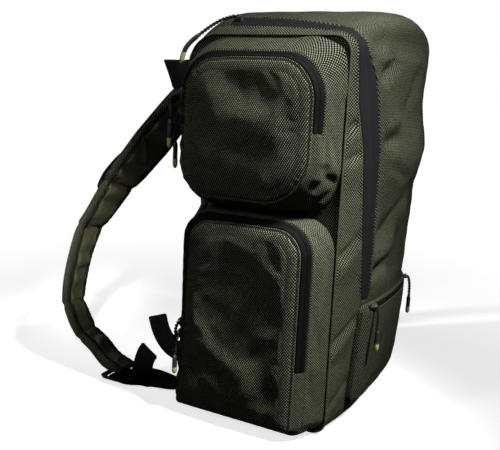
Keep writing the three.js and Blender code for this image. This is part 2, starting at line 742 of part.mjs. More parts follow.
// Webbing from the bag's lower corner, under the lock, up through its far slot and back over the middle bar
function lowerWebbing(lock, freeEnd, anchor, slack) {
  const leaving = { x: lerp(anchor.x, lock.x, 0.06), y: anchor.y + 10, z: anchor.z - 2 };
  const hanging = {
    x: lerp(anchor.x, lock.x, slack.across),
    y: lerp(anchor.y, lock.y, slack.share),
    z: slack.z,
    tilt: slack.tilt,
  };
  const round = LOCK_ROUTE.map(({ y, z }) => ({ x: lock.x, y: lock.y + y, z: lock.z + z }));
  const rows = [anchor, leaving, hanging, ...round, ...freeEnd];
  const stations = rows.map((row) => ({ tilt: 0, twist: 0, ...row }));
  const turned = ({ tilt: degrees, twist }) => {
    const angle = THREE.MathUtils.degToRad(degrees);
    return new THREE.Vector3((1 - twist) * Math.cos(angle), -twist, Math.sin(angle));
  };
  return band(route(stations, 3, turned), () => LOWER_WEBBING_WIDTH, WEBBING_THICK, 0);
}

const mirrored = (stations) => stations.map((row) => ({ ...row, x: -row.x }));

function haulHandle() {
  const stations = [...HANDLE_HALF, ...mirrored(HANDLE_HALF).reverse()];
  const slanting = ({ lean }) => {
    const angle = THREE.MathUtils.degToRad(lean);
    return new THREE.Vector3(0, Math.sin(angle), Math.cos(angle));
  };
  return band(route(stations, 3, slanting), () => HANDLE.width, HANDLE.thick, 0);
}

function waistWebbing(stations) {
  return band(route(stations, 3, () => new THREE.Vector3(0, 0, 1)), () => WAIST_WIDTH, WEBBING_THICK, 0);
}

// A zip slider, pointing along +Y and lying on the XY plane
function slider() {
  const { length, width, tail, height } = SLIDER;
  const shape = new THREE.Shape();
  shape.moveTo(-tail / 2, -length / 2);
  shape.lineTo(tail / 2, -length / 2);
  shape.lineTo(width / 2, length / 6);
  shape.absarc(0, length / 2 - width / 2, width / 2, 0, Math.PI);
  shape.lineTo(-width / 2, length / 6);
  shape.closePath();
  return new THREE.ExtrudeGeometry(shape, { depth: height, bevelEnabled: false, curveSegments: 4 });
}

// A zip pull hangs along a short route from its slider
function pull(stations) {
  const spans = stations.length - 1;
  const frames = route(stations, Math.ceil(PULL_STEPS / spans), () => new THREE.Vector3(1, 0.2, 0.1));
  return throughLoops(frames.map(({ at, side, face }, j) => {
    const { radius } = lookUp(PULL_PROFILE, 'at', j / (frames.length - 1));
    return Array.from({ length: PULL_SIDES }, (_, i) => {
      const angle = (2 * Math.PI * i) / PULL_SIDES;
      return at.clone()
        .addScaledVector(side, radius * Math.cos(angle))
        .addScaledVector(face, radius * Math.sin(angle));
    });
  }));
}

const rucksack = new THREE.Group();

function add(name, geometry, finish) {
  const mesh = new THREE.Mesh(geometry, new THREE.MeshStandardMaterial(finish));
  mesh.name = name;
  rucksack.add(mesh);
  return mesh;
}

// A slider lies on a zip: its place, the way along the zip and the way out of the cloth
function addSlider(name, place, along, out) {
  const mesh = add(name, slider(), MOULDED);
  const up = out.clone().normalize();
  const way = along.clone().addScaledVector(up, -along.dot(up)).normalize();
  mesh.setRotationFromMatrix(new THREE.Matrix4().makeBasis(way.clone().cross(up), way, up));
  mesh.position.copy(place).addScaledVector(up, GAP);
  return mesh;
}

// The place, direction and outward normal on a surface given as a function of a place along and a share
function frameOn(surface, u, step) {
  const share = 0.5;
  const place = surface(u, share);
  const along = surface(u + step, share).sub(surface(u - step, share)).normalize();
  const across = surface(u, share + 0.3).sub(surface(u, share - 0.3)).normalize();
  return { place, along, out: along.clone().cross(across) };
}

add('main_shell', mainShell(), CLOTH);
add('side_panel', sidePanel(), CLOTH);
add('side_piping', piping(), CLOTH);
add('main_zip', mainZip(), TAPE_CLOTH);

const coilTop = TAPE.outerInset - TAPE.coilRise;
const mainZipSurface = (u, share) => {
  const { outer, inner } = zipLine(u);
  return bodyPoint(u, lerp(outer, inner, share), coilTop);
};
const mainSlider = frameOn(mainZipSurface, MAIN_ZIP.sliderPlace, 0.05);
if (mainSlider.out.z < 0) mainSlider.out.negate();
addSlider('main_zip_slider', mainSlider.place, mainSlider.along, mainSlider.out);
add('main_zip_pull', pull(MAIN_PULL), MOULDED);

const sidePockets = [
  {
    name: 'upper',
    pocket: UPPER_POCKET,
    pulls: [
      { suffix: '_a', z: 503, drop: 84, swing: 14, stand: 2 },
      { suffix: '_b', z: 474, drop: 84, swing: 3, stand: 2 },
    ],
  },
  {
    name: 'lower',
    pocket: LOWER_POCKET,
    pulls: [
      { suffix: '_a', z: 150, drop: 82, swing: 4, stand: 2 },
      { suffix: '_b', z: 131, drop: 64, swing: -2, stand: 10 },
    ],
  },
];
sidePockets.forEach(({ name, pocket, pulls }) => {
  add(`${name}_pocket`, sidePocket(pocket), CLOTH);
  add(`${name}_zip`, pocketZipTape(pocket), TAPE_CLOTH);
  const surface = (u, share) => pocketZipPoint(pocket, u, share, TAPE.outerInset - POCKET_COIL_RISE);
  pulls.forEach(({ suffix, z, drop, swing, stand }) => {
    const frame = frameOn(surface, backPlace(pocket, z), 0.02);
    if (frame.out.y < 0) frame.out.negate();
    addSlider(`${name}_zip_slider${suffix}`, frame.place, frame.along, frame.out);
    const ring = frame.place.clone().addScaledVector(frame.out, SLIDER.height + SLIDER.ringClear);
    add(`${name}_zip_pull${suffix}`, pull([
      ring,
      { x: ring.x - stand / 2, y: ring.y + swing, z: ring.z - drop * 0.12 },
      { x: ring.x - stand, y: ring.y + swing, z: ring.z - drop * 0.5 },
      { x: ring.x - stand, y: ring.y + swing, z: ring.z - drop },
    ]), MOULDED);
  });
});

add('front_pocket', frontPocket(), CLOTH);
add('front_zip', frontZip(), TAPE_CLOTH);
const frontPulls = [
  { suffix: '_a', u: 2.9, lift: 0.8, clear: 2.6, lean: 3, drop: 70 },
  { suffix: '_b', u: 2.05, lift: 0.7, clear: 3.2, lean: -2, drop: 72 },
];
frontPulls.forEach(({ suffix, u, lift, clear, lean, drop }) => {
  const frame = frameOn((place, share) => frontZipPoint(place, share, TAPE.outerInset), u, 0.04);
  if (frame.out.y > 0) frame.out.negate();
  frame.place.addScaledVector(frame.out, lift);
  addSlider(`front_zip_slider${suffix}`, frame.place, frame.along, frame.out);
  const ring = frame.place.clone().addScaledVector(frame.out, SLIDER.height + clear);
  add(`front_zip_pull${suffix}`, pull([
    ring,
    { x: ring.x + lean / 2, y: ring.y - 3, z: ring.z - drop * 0.17 },
    { x: ring.x + lean, y: ring.y - 4, z: ring.z - drop * 0.5 },
    { x: ring.x + lean, y: ring.y - 4, z: ring.z - drop },
  ]), MOULDED);
});

const sides = [
  {
    name: 'left',
    strap: STRAP_LEFT,
    lock: LOCK_LEFT,
    anchor: ANCHOR_LEFT,
    freeEnd: FREE_END_LEFT,
    slack: SLACK_LEFT,
    waist: WAIST_WEBBING,
  },
  {
    name: 'right',
    strap: STRAP_RIGHT,
    lock: LOCK_RIGHT,
    anchor: ANCHOR_RIGHT,
    freeEnd: FREE_END_RIGHT,
    slack: SLACK_RIGHT,
    waist: mirrored(WAIST_WEBBING),
  },
];
sides.forEach(({ name, strap, lock, anchor, freeEnd, slack, waist }) => {
  add(`strap_${name}`, strapPad(strap), LINING);
  add(`strap_keeper_${name}`, keeper(strap), TAPE_CLOTH);
  add(`ladder_lock_${name}`, ladderLock(), MOULDED).position.copy(pointOf(lock));
  add(`lower_webbing_${name}`, lowerWebbing(lock, freeEnd, anchor, slack), TAPE_CLOTH);
  add(`waist_webbing_${name}`, waistWebbing(waist), TAPE_CLOTH);
});

add('haul_handle', haulHandle(), TAPE_CLOTH);

export default rucksack;
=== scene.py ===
"""Looks of a bait boat rucksack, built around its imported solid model.

Sizes are in millimetres until a mesh is written, and the meshes are in metres. +Z is up, +Y is
towards the wearer, and the pocketed side panel is at -X. A place round an outline, called u, runs
from 0 to 8: front edge, corner, top, corner, back edge, corner, bottom, corner.
"""
import logging
from dataclasses import dataclass
from enum import Enum
from typing import Callable, Sequence

import bmesh
import bpy
import numpy as np
from mathutils import Matrix, Vector


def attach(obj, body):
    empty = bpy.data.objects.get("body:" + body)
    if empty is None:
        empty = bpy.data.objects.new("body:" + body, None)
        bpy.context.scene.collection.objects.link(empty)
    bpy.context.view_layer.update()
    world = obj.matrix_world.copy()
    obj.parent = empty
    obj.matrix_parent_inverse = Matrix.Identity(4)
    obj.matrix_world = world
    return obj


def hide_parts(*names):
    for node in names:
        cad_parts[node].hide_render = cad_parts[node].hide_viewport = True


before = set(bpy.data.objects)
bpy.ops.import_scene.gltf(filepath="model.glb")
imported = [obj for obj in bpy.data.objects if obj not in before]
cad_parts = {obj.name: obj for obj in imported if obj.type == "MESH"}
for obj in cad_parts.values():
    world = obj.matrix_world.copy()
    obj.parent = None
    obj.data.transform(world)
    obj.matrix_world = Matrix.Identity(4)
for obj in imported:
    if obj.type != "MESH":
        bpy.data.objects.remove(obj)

LOG = logging.getLogger("rucksack")
Array = np.ndarray
Number = Array | float
Row = tuple[float, ...]
Pair = tuple[float, float]
Point = tuple[float, float, float]
Colour = Point
Piece = bpy.types.Object
Socket = bpy.types.NodeSocket
Surface = Callable[[Array, Array, Array], Array]
MM = 0.001
TAU = 2.0 * np.pi
QUARTER = np.pi / 2
GAP = 0.3
MERGE = 1e-6


class Slot(Enum):
    """The record's material slots."""

    CLOTH = "cloth"
    PIPING = "piping"
    ZIP_TAPE = "zip_tape"
    SLIDER = "slider"
    PULL = "pull"
    STRAP = "strap"
    WEBBING = "webbing"
    LOCK = "lock"


class Side(Enum):
    """The wearer's two sides, with the sign of X on each."""

    LEFT = -1
    RIGHT = 1


# Curves and fields

def lerp(low: Number, high: Number, share: Number) -> Number:
    """Straight blend from low to high."""
    return low + (high - low) * share


def smooth(value: Number, low: float, high: float) -> Array:
    """S-shaped step from 0 at low to 1 at high."""
    share = np.clip((np.asarray(value, float) - low) / (high - low), 0.0, 1.0)
    return share * share * (3.0 - 2.0 * share)


def bump(value: Array, centre: Number, width: float) -> Array:
    """Bell curve of height 1 round a centre."""
    return np.exp(-(((value - centre) / width) ** 2))


def unit(vectors: Array) -> Array:
    """Vectors scaled to length 1 along the last axis."""
    return vectors / np.maximum(np.linalg.norm(vectors, axis=-1, keepdims=True), 1e-12)


def wrap(columns: Array) -> Array:
    """A grid with its first column repeated after its last."""
    return np.concatenate([columns, columns[:, :1]], axis=1)


def run_length(points: Array) -> Array:
    """Length along a row of points, from 0 at the first."""
    steps = np.linalg.norm(np.diff(points, axis=0), axis=-1)
    return np.concatenate([[0.0], np.cumsum(steps)])


def loop_length(row: Array) -> Array:
    """Length along a closed row of points, from 0 at the first round to the first again."""
    return run_length(np.concatenate([row, row[:1]]))


def joined(*parts: Number) -> Array:
    """Arrays spread to one shape and joined along a new last axis."""
    return np.stack(np.broadcast_arrays(*parts), axis=-1)


@dataclass(frozen=True)
class Bell:
    """A bell curve with a height and a width round a centre."""

    height: float
    centre: float
    width: float

    def at(self, value: Array) -> Array:
        """The curve at given values."""
        return self.height * bump(value, self.centre, self.width)


@dataclass(frozen=True)
class Ripple:
    """Soft unevenness of cloth: cosine waves in seeded directions, all about one wavelength."""

    height: float
    wave: float
    seed: int
    count: int = 7
    spread: Pair = (0.6, 1.6)

    def at(self, a: Array, b: Array) -> Array:
        """The sum of the waves, scaled to about the given height.

        Args:
            a: First coordinate.
            b: Second coordinate.

        Returns:
            Heights.
        """
        draw = np.random.default_rng(self.seed)
        angle = draw.uniform(0.0, TAU, self.count)
        length = self.wave * draw.uniform(*self.spread, self.count)
        phase = draw.uniform(0.0, TAU, self.count)
        way = np.multiply.outer(a, np.cos(angle)) + np.multiply.outer(b, np.sin(angle))
        return self.height * np.cos(TAU * way / length + phase).sum(axis=-1) / np.sqrt(2.0 * self.count)


def curve(stations: Array, per_span: int) -> tuple[Array, Array, Array]:
    """Centripetal Catmull-Rom curve through the first three columns of a table.

    Each span is a cubic whose end slopes come from the neighbouring stations, weighted by the square
    root of their distances. The other columns are blended straight from station to station.

    Args:
        stations: Table of x, y, z and further columns.
        per_span: Steps in each span.

    Returns:
        Points, unit directions and the further columns.
    """
    p = np.asarray(stations, float)
    xyz = p[:, :3]
    run = np.concatenate([2 * xyz[:1] - xyz[1:2], xyz, 2 * xyz[-1:] - xyz[-2:-1]])
    p0, p1, p2, p3 = run[:-3], run[1:-2], run[2:-1], run[3:]
    d0, d1, d2 = (np.sqrt(np.linalg.norm(q - r, axis=1, keepdims=True)) for q, r in
                  ((p1, p0), (p2, p1), (p3, p2)))
    m1 = ((p1 - p0) / d0 - (p2 - p0) / (d0 + d1) + (p2 - p1) / d1) * d1
    m2 = ((p2 - p1) / d1 - (p3 - p1) / (d1 + d2) + (p3 - p2) / d2) * d1
    share = np.arange(per_span) / per_span
    t = np.concatenate([np.tile(share, len(p1)), [1.0]])
    k = np.concatenate([np.repeat(np.arange(len(p1)), per_span), [len(p1) - 1]])
    t = t[:, None]
    c2 = -3 * p1 + 3 * p2 - 2 * m1 - m2
    c3 = 2 * p1 - 2 * p2 + m1 + m2
    points = p1[k] + m1[k] * t + c2[k] * t ** 2 + c3[k] * t ** 3
    slopes = m1[k] + 2 * c2[k] * t + 3 * c3[k] * t ** 2
    return points, unit(slopes), lerp(p[k, 3:], p[k + 1, 3:], t)


@dataclass(frozen=True)
class Track:
    """Frames along a route: points, directions along it, across it and out of its face."""

    at: Array
    along: Array
    side: Array
    face: Array
    extra: Array

    @classmethod
    def through(cls, stations: Array, per_span: int, across: Array, roll: Array | None = None) -> "Track":
        """Frames on the smooth curve through stations.

        The side of a frame is the given across direction with its part along the curve taken away, then
        rolled about the curve.

        Args:
            stations: Table of x, y, z and further columns.
            per_span: Steps in each span.
            across: One across direction, or one for each frame.
            roll: Roll in degrees for each frame.

        Returns:
            The track.
        """
        at, along, extra = curve(stations, per_span)
        wide = np.broadcast_to(across, at.shape)
        side = unit(wide - (wide * along).sum(axis=1, keepdims=True) * along)
        if roll is not None:
            turn = np.radians(roll)[:, None]
            side = side * np.cos(turn) + np.cross(along, side) * np.sin(turn)
        return cls(at, along, side, np.cross(along, side), extra)

    def place(self, a: Array, b: Array) -> Array:
        """Points a to the side and b out of the face of each frame, frames by section points."""
        return self.at[:, None] + a[..., None] * self.side[:, None] + b[..., None] * self.face[:, None]

    def part(self, first: int, last: int) -> "Track":
        """The frames from first up to last."""
        parts = self.at, self.along, self.side, self.face, self.extra
        return Track(*(part[first:last] for part in parts))

    def length(self) -> Array:
        """Length along the track at each frame."""
        return run_length(self.at)


@dataclass(frozen=True)
class Outline:
    """A rounded rectangle seen along one axis."""

    front: float
    back: float
    bottom: float
    top: float
    front_top: float
    back_top: float
    back_bottom: float
    front_bottom: float

    def radii(self) -> tuple[float, float, float, float]:
        """Radii of the corners, in the order of the places."""
        return self.front_top, self.back_top, self.back_bottom, self.front_bottom

    def at(self, u: Number, inset: Number = 0.0) -> tuple[Array, Array, Array, Array]:
        """Points and outward normals: straight edges, and quarter circles at the corners.

        A point is a corner's middle moved out by its radius along the normal. An edge blends from one corner
        to the next, and on a corner the normal turns by a quarter.

        Args:
            u: Places round the outline, 0 to 8.
            inset: Distance inwards from the outline.

        Returns:
            First coordinate, second coordinate and the two parts of the normal.
        """
        u, inset = np.broadcast_arrays(np.asarray(u, float), np.asarray(inset, float))
        part, share = np.floor(u).astype(int) % 8, u - np.floor(u)
        edge, bent = part // 2, part % 2 == 1
        angle = (2.0 - edge - np.where(bent, share, 0.0)) * QUARTER
        na, nb = np.cos(angle), np.sin(angle)
        ends = []
        for corner in ((edge - 1) % 4, edge):
            radius = np.maximum(np.choose(corner, self.radii()) - inset, 1.0)
            behind, under = (corner == 1) | (corner == 2), corner > 1
            a = np.where(behind, self.back - inset - radius, self.front + inset + radius)
            b = np.where(under, self.bottom + inset + radius, self.top - inset - radius)
            ends.append((a + radius * na, b + radius * nb))
        share = np.where(bent, 1.0, share)
        a, b = (lerp(before, after, share) for before, after in zip(*ends))
        return a, b, na, nb

    def places(self, step: float) -> Array:
        """Places round the outline: each edge and corner cut into equal parts, at least three.

        Args:
            step: Greatest distance between places.

        Returns:
            Places from 0 up to 8.
        """
        radii, sides = self.radii(), (self.top - self.bottom, self.back - self.front) * 2
        lengths = [length for k in range(4)
                   for length in (sides[k] - radii[k - 1] - radii[k], radii[k] * QUARTER)]
        counts = [max(3, int(np.ceil(length / step))) for length in lengths]
        return np.concatenate([k + np.arange(n) / n for k, n in enumerate(counts)])

    def front_place(self, height: float) -> float:
        """The place on the front edge, 0 to 1, at a height."""
        low, high = self.bottom + self.front_bottom, self.top - self.front_top
        return (height - low) / (high - low)

    def back_place(self, height: float) -> float:
        """The place on the back edge, 4 to 5, at a height."""
        low, high = self.bottom + self.back_bottom, self.top - self.back_top
        return 5.0 - (height - low) / (high - low)


@dataclass(frozen=True)
class Fold:
    """A valley in cloth, or a ridge where its depth is negative."""

    a: float
    b: float
    angle: float
    length: float
    width: float
    depth: float

    def dent(self, a: Array, b: Array) -> Array:
        """Bell curve across the fold, held along its length and faded at its ends by a fourth power."""
        way = (a - self.a + 1j * (b - self.b)) * np.exp(-1j * np.radians(self.angle))
        return self.depth * np.exp(-((way.real / self.length) ** 4)) * bump(way.imag, 0.0, self.width)


def dents(folds: Sequence[Fold], a: Array, b: Array) -> Array:
    """The sum of the dents of several folds."""
    return sum((fold.dent(a, b) for fold in folds), np.zeros(np.broadcast(a, b).shape))


# Meshes

@dataclass
class Patch:
    """A grid of points with its map. An around patch closes its columns, so its map has one column more."""

    points: Array
    uv: Array
    around: bool = False
    finish: Array | int = 0


def face_grid(rows: int, columns: int, around: bool) -> Array:
    """Corner indices of a grid's cells, row by row; in an around grid the last column joins the first."""
    index = np.pad(np.arange(rows * columns).reshape(rows, columns), ((0, 0), (0, int(around))), "wrap")
    return np.stack([index[:-1, :-1], index[:-1, 1:], index[1:, 1:], index[1:, :-1]], axis=-1).reshape(-1, 4)


def new_mesh(name: str, patches: Sequence[Patch], outward: Array | None = None,
             wall: float = 0.0) -> Piece:
    """One mesh object from several patches, with doubles merged so that seams and poles close.

    Args:
        name: Name of the piece.
        patches: The grids, in millimetres.
        outward: A point that faces look away from; closed pieces need none.
        wall: Thickness that a cloth surface gets, inwards from its outer face.

    Returns:
        The object, in metres at the origin.
    """
    points, faces, maps, finishes, count = [], [], [], [], 0
    for patch in patches:
        rows, columns = patch.points.shape[:2]
        cells = face_grid(rows, columns, patch.around)
        corners = face_grid(*patch.uv.shape[:2], False)
        points.append(patch.points.reshape(-1, 3) * MM)
        faces.append(cells + count)
        maps.append(patch.uv.reshape(-1, 2)[corners] * MM)
        finishes.append(np.broadcast_to(np.asarray(patch.finish), (len(cells),)))
        count += rows * columns
    vertices, cells = np.concatenate(points), np.concatenate(faces)
    if outward is not None:
        corner = vertices[cells]
        normal = np.cross(corner[:, 2] - corner[:, 0], corner[:, 3] - corner[:, 1])
        away = corner.mean(axis=1) - np.asarray(outward) * MM
        if (normal * unit(away)).sum() < 0:
            cells = cells[:, ::-1]
            maps = [corners[:, ::-1] for corners in maps]
    mesh = bpy.data.meshes.new(name)
    mesh.from_pydata(vertices.tolist(), [], cells.tolist())
    mesh.polygons.foreach_set("material_index", np.concatenate(finishes).astype(np.int32))
    mesh.uv_layers.new(name="UVMap").data.foreach_set("uv", np.concatenate(maps).ravel())
    mesh.validate()
    shape = bmesh.new()
    shape.from_mesh(mesh)
    bmesh.ops.remove_doubles(shape, verts=shape.verts, dist=MERGE)
    bmesh.ops.dissolve_degenerate(shape, edges=shape.edges, dist=MERGE)
    if outward is None:
        bmesh.ops.recalc_face_normals(shape, faces=shape.faces)
    shape.to_mesh(mesh)
    shape.free()
    mesh.polygons.foreach_set("use_smooth", np.ones(len(mesh.polygons), dtype=bool))
    piece = bpy.data.objects.new(name, mesh)
    bpy.context.scene.collection.objects.link(piece)
    if wall:
        solid = piece.modifiers.new("wall", "SOLIDIFY")
        solid.thickness = wall * MM
        solid.offset = -1.0
    return piece


def place_piece(piece: Piece, finishes: Sequence[bpy.types.Material],
                nodes: Sequence[str] = ()) -> Piece:
    """Dresses a piece, puts it on the bag and hides the solids that it stands for.

    Args:
        piece: The piece.
        finishes: Its materials.
        nodes: Solids that it replaces.

    Returns:
        The piece.
    """
    for finish in finishes:
        piece.data.materials.append(finish)
    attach(piece, "root")
    if nodes:
        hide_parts(*nodes)
    LOG.info("%s: %d faces", piece.name, len(piece.data.polygons))
    return piece


def stadium(half_width: Number, half_thick: Number, flat: int = 9, turn: int = 5) -> tuple[Array, Array]:
    """Section of a webbing: two flat faces joined by half circles.

    Args:
        half_width: Half the width, for all frames or for each.
        half_thick: Half the thickness.
        flat: Points on each face.
        turn: Points inside each half circle.

    Returns:
        Side and face distances, frames by points.
    """
    run = np.linspace(-1.0, 1.0, flat)
    arc = np.linspace(-QUARTER, QUARTER, turn + 2)[1:-1]
    across = np.concatenate([run, np.ones(turn), run[::-1], -np.ones(turn)])
    bulge = np.concatenate([np.zeros(flat), np.cos(arc), np.zeros(flat), -np.cos(arc)])
    out = np.concatenate([-np.ones(flat), np.sin(arc), np.ones(flat), -np.sin(arc)])
    width, thick = (np.atleast_1d(half)[:, None] for half in (half_width, half_thick))
    return across * (width - thick) + bulge * thick, out * thick


def loop_patch(points: Array, length: Array, finish: Array | int = 0) -> Patch:
    """A closed tube through loops, capped by drawing its end loops to their middles.

    Args:
        points: Loops by points.
        length: Length along the tube at each loop.
        finish: Material index of every cell, or one for all.

    Returns:
        The patch, whose map runs round the tube and along it.
    """
    ends = points[[0, -1]].mean(axis=1, keepdims=True).repeat(points.shape[1], axis=1)
    rows = np.concatenate([ends[:1], points, ends[1:]])
    far = np.concatenate([[length[0] - 1.0], length, [length[-1] + 1.0]])
    uv = joined(loop_length(points[len(points) // 2]), far[:, None])
    if not np.isscalar(finish):
        cells = np.asarray(finish)
        finish = np.concatenate([cells[:1], cells, cells[-1:]]).ravel()
    return Patch(rows, uv, True, finish)


def tube(at: Array, side: Array, face: Array, radius: Number, sides: int, finish: int = 0) -> Patch:
    """A round tube: circles of a radius at each frame.

    Args:
        at: Points of its middle line.
        side: Way across at each point.
        face: The other way across, shorter for a flattened tube.
        radius: Radius, for all points or for each.
        sides: Points round each circle.
        finish: Material index.

    Returns:
        The patch.
    """
    angle = (np.arange(sides) * TAU / sides)[:, None]
    ring = np.cos(angle) * side[:, None] + np.sin(angle) * face[:, None]
    loops = at[:, None] + np.atleast_1d(radius)[:, None, None] * ring
    return loop_patch(loops, run_length(at), finish)


# Cloth runs

@dataclass(frozen=True)
class ClothRun:
    """A short cloth simulation of a sewn panel: held at its seams, swollen, with cloth to spare."""

    pressure: float
    spare: float
    cap: float
    stiff: float = 12.0
    bend: float = 0.4
    frames: int = 20
    levels: int = 8
    quality: int = 6
    mass: float = 0.2
    shear: float = 1.0 / 3.0

    def settle(self, points: Array, around: bool, held: Array) -> Array:
        """Runs the cloth from a grid of points to where they come to rest, moved at most by the cap.

        Args:
            points: Rows by columns, in millimetres, with faces that look outwards.
            around: Whether the last column joins the first.
            held: How firmly each point is sewn down, 0 to 1.
        """
        rows, columns = points.shape[:2]
        mesh = bpy.data.meshes.new("cloth_run")
        cells = face_grid(rows, columns, around).tolist()
        mesh.from_pydata((points.reshape(-1, 3) * MM).tolist(), [], cells)
        sheet = bpy.data.objects.new("cloth_run", mesh)
        scene = bpy.context.scene
        scene.collection.objects.link(sheet)
        sewn = sheet.vertex_groups.new(name="sewn")
        level = np.rint(held.ravel() * self.levels).astype(int)
        for step in range(1, self.levels + 1):
            sewn.add(np.flatnonzero(level == step).tolist(), step / self.levels, "REPLACE")
        run = sheet.modifiers.new("cloth", "CLOTH")
        rules = run.settings
        rules.quality = self.quality
        rules.mass = self.mass
        rules.tension_stiffness = rules.compression_stiffness = self.stiff
        rules.shear_stiffness = self.stiff * self.shear
        rules.bending_stiffness = self.bend
        rules.vertex_group_mass = "sewn"
        rules.shrink_min = -self.spare
        rules.use_pressure = True
        rules.uniform_pressure_force = self.pressure
        rules.effector_weights.gravity = 0.0
        run.collision_settings.use_collision = False
        run.point_cache.frame_end = self.frames
        for step in range(1, self.frames + 1):
            scene.frame_set(step)
        ready = sheet.evaluated_get(bpy.context.evaluated_depsgraph_get())
        flat = np.empty(rows * columns * 3)
        ready.data.vertices.foreach_get("co", flat)
        scene.frame_set(1)
        bpy.data.objects.remove(sheet)
        bpy.data.meshes.remove(mesh)
        move = flat.reshape(points.shape) / MM - points
        size = np.linalg.norm(move, axis=-1, keepdims=True)
        return points + move * np.minimum(1.0, self.cap / np.maximum(size, 1e-9))


# Finishes

class Nodes:
    """A material's node tree, filled node by node."""

    def __init__(self, name: str) -> None:
        """Starts a material with an empty tree.

        Args:
            name: Name of the material.
        """
        self.material = bpy.data.materials.new(name)
        self.material.use_nodes = True
        self.tree = self.material.node_tree
        self.tree.nodes.clear()

    def add(self, kind: str, settings: dict | None = None, **inputs: object) -> bpy.types.Node:
        """Adds a node.

        Args:
            kind: Node type after ShaderNode.
            settings: Properties of the node.
            inputs: Sockets to link or values to set, by name with _ for a space, or by number as n0, n1.

        Returns:
            The node.
        """
        node = self.tree.nodes.new("ShaderNode" + kind)
        for key, value in (settings or {}).items():
            setattr(node, key, value)
        for key, value in inputs.items():
            socket = node.inputs[int(key[1:])] if key[1:].isdigit() else node.inputs[key.replace("_", " ")]
            if isinstance(value, Socket):
                self.tree.links.new(value, socket)
            else:
                socket.default_value = value
        return node

    def math(self, operation: str, a: object, b: object = 0.0) -> Socket:
        """The result of one sum on sockets or numbers."""
        return self.add("Math", {"operation": operation}, n0=a, n1=b).outputs[0]

    def wave(self, value: object, length: float) -> Socket:
        """Sine of a coordinate with a wavelength in metres."""
        return self.math("SINE", self.math("MULTIPLY", value, TAU / length))

    def span(self, value: object, low: float, high: float, to_low: float, to_high: float) -> Socket:
        """A value carried from one range to another and held inside it."""
        return self.add("MapRange", None, Value=value, From_Min=low, From_Max=high, To_Min=to_low,
                        To_Max=to_high).outputs[0]

    def blend(self, share: object, low: object, high: object) -> Socket:
        """A colour between two."""
        node = self.add("Mix", {"data_type": "RGBA"}, n0=share, n6=low, n7=high)
        return node.outputs[2]

    def noise(self, scale: float, detail: float = 3.0, place: object = None) -> Socket:
        """Cloudy noise, on the object's own coordinates unless others are given."""
        where = place or self.add("TexCoord").outputs["Object"]
        return self.add("TexNoise", None, Vector=where, Scale=scale, Detail=detail).outputs[0]

    def map_parts(self) -> tuple[Socket, Socket]:
        """The two coordinates of the piece's own map, in metres."""
        parts = self.add("SeparateXYZ", None, Vector=self.add("UVMap", {"uv_map": "UVMap"}).outputs[0])
        return parts.outputs[0], parts.outputs[1]

    def raised(self, height: object, distance: float, strength: float) -> Socket:
        """A bumped normal from a height."""
        return self.add("Bump", None, Strength=strength, Distance=distance, Height=height).outputs[0]

    def surface(self, **inputs: object) -> bpy.types.Material:
        """The material, with its tree ended by one principled shader of the given values."""
        self.add("OutputMaterial", None, Surface=self.add("BsdfPrincipled", None, **inputs).outputs[0])
        return self.material


def full(colour: Colour) -> tuple[float, float, float, float]:
    """A colour with full alpha."""
    return (*colour, 1.0)


# Middle range of the noise texture, which the finishes spread to their own ranges
CLOUD = (0.3, 0.7)


@dataclass(frozen=True)
class WovenCloth:
    """Coated nylon in a coarse basket weave: staggered raised dots of thread, with painted shade in the gaps
    between them.
    """

    name: str
    # Colour of the gaps between the threads, nearly black: painted shade
    gap: Colour
    thread: Colour
    pitch: Pair = (3.4, 5.1)
    roughness: Pair = (0.75, 0.42)
    gloss: Pair = (0.02, 0.4)
    height: float = 0.6
    relief: float = 0.9
    crest: float = 0.65
    strands: float = 4.0
    strand_height: float = 0.1
    cloud_scale: float = 9.0
    cloud_low: float = 0.72
    speck_scale: float = 420.0
    speck_low: float = 0.55

    def make(self) -> bpy.types.Material:
        """The product of two sine waves gives the dots; noise varies their colour and height. The gap colour
        between the dots is painted shade.

        Returns:
            The material.
        """
        tree = Nodes(self.name)
        u, v = tree.map_parts()
        wide, tall = (pitch * MM for pitch in self.pitch)
        dots = tree.math("MULTIPLY", tree.wave(u, wide), tree.wave(v, tall))
        thread = tree.span(dots, 0.0, self.crest, 0.0, 1.0)
        slant = tree.wave(tree.math("ADD", u, v), wide / self.strands)
        strand = tree.math("MULTIPLY", slant, self.strand_height)
        cloudy = tree.noise(self.cloud_scale, 4.0)
        speck = tree.noise(self.speck_scale, 1.0)
        lift = tree.math("MULTIPLY", thread, tree.span(speck, *CLOUD, self.speck_low, 1.0))
        shade = tree.math("MULTIPLY", lift, tree.span(cloudy, *CLOUD, self.cloud_low, 1.0))
        # Between the dots the colour falls to the gap colour, a painted shade
        colour = tree.blend(shade, full(self.gap), full(self.thread))
        normal = tree.raised(tree.math("ADD", lift, strand), self.height * MM, self.relief)
        rough = tree.span(lift, 0.0, 1.0, *self.roughness)
        gloss = tree.span(lift, 0.1, 0.8, *self.gloss)
        return tree.surface(Base_Color=colour, Roughness=rough, Normal=normal, Specular_IOR_Level=gloss)


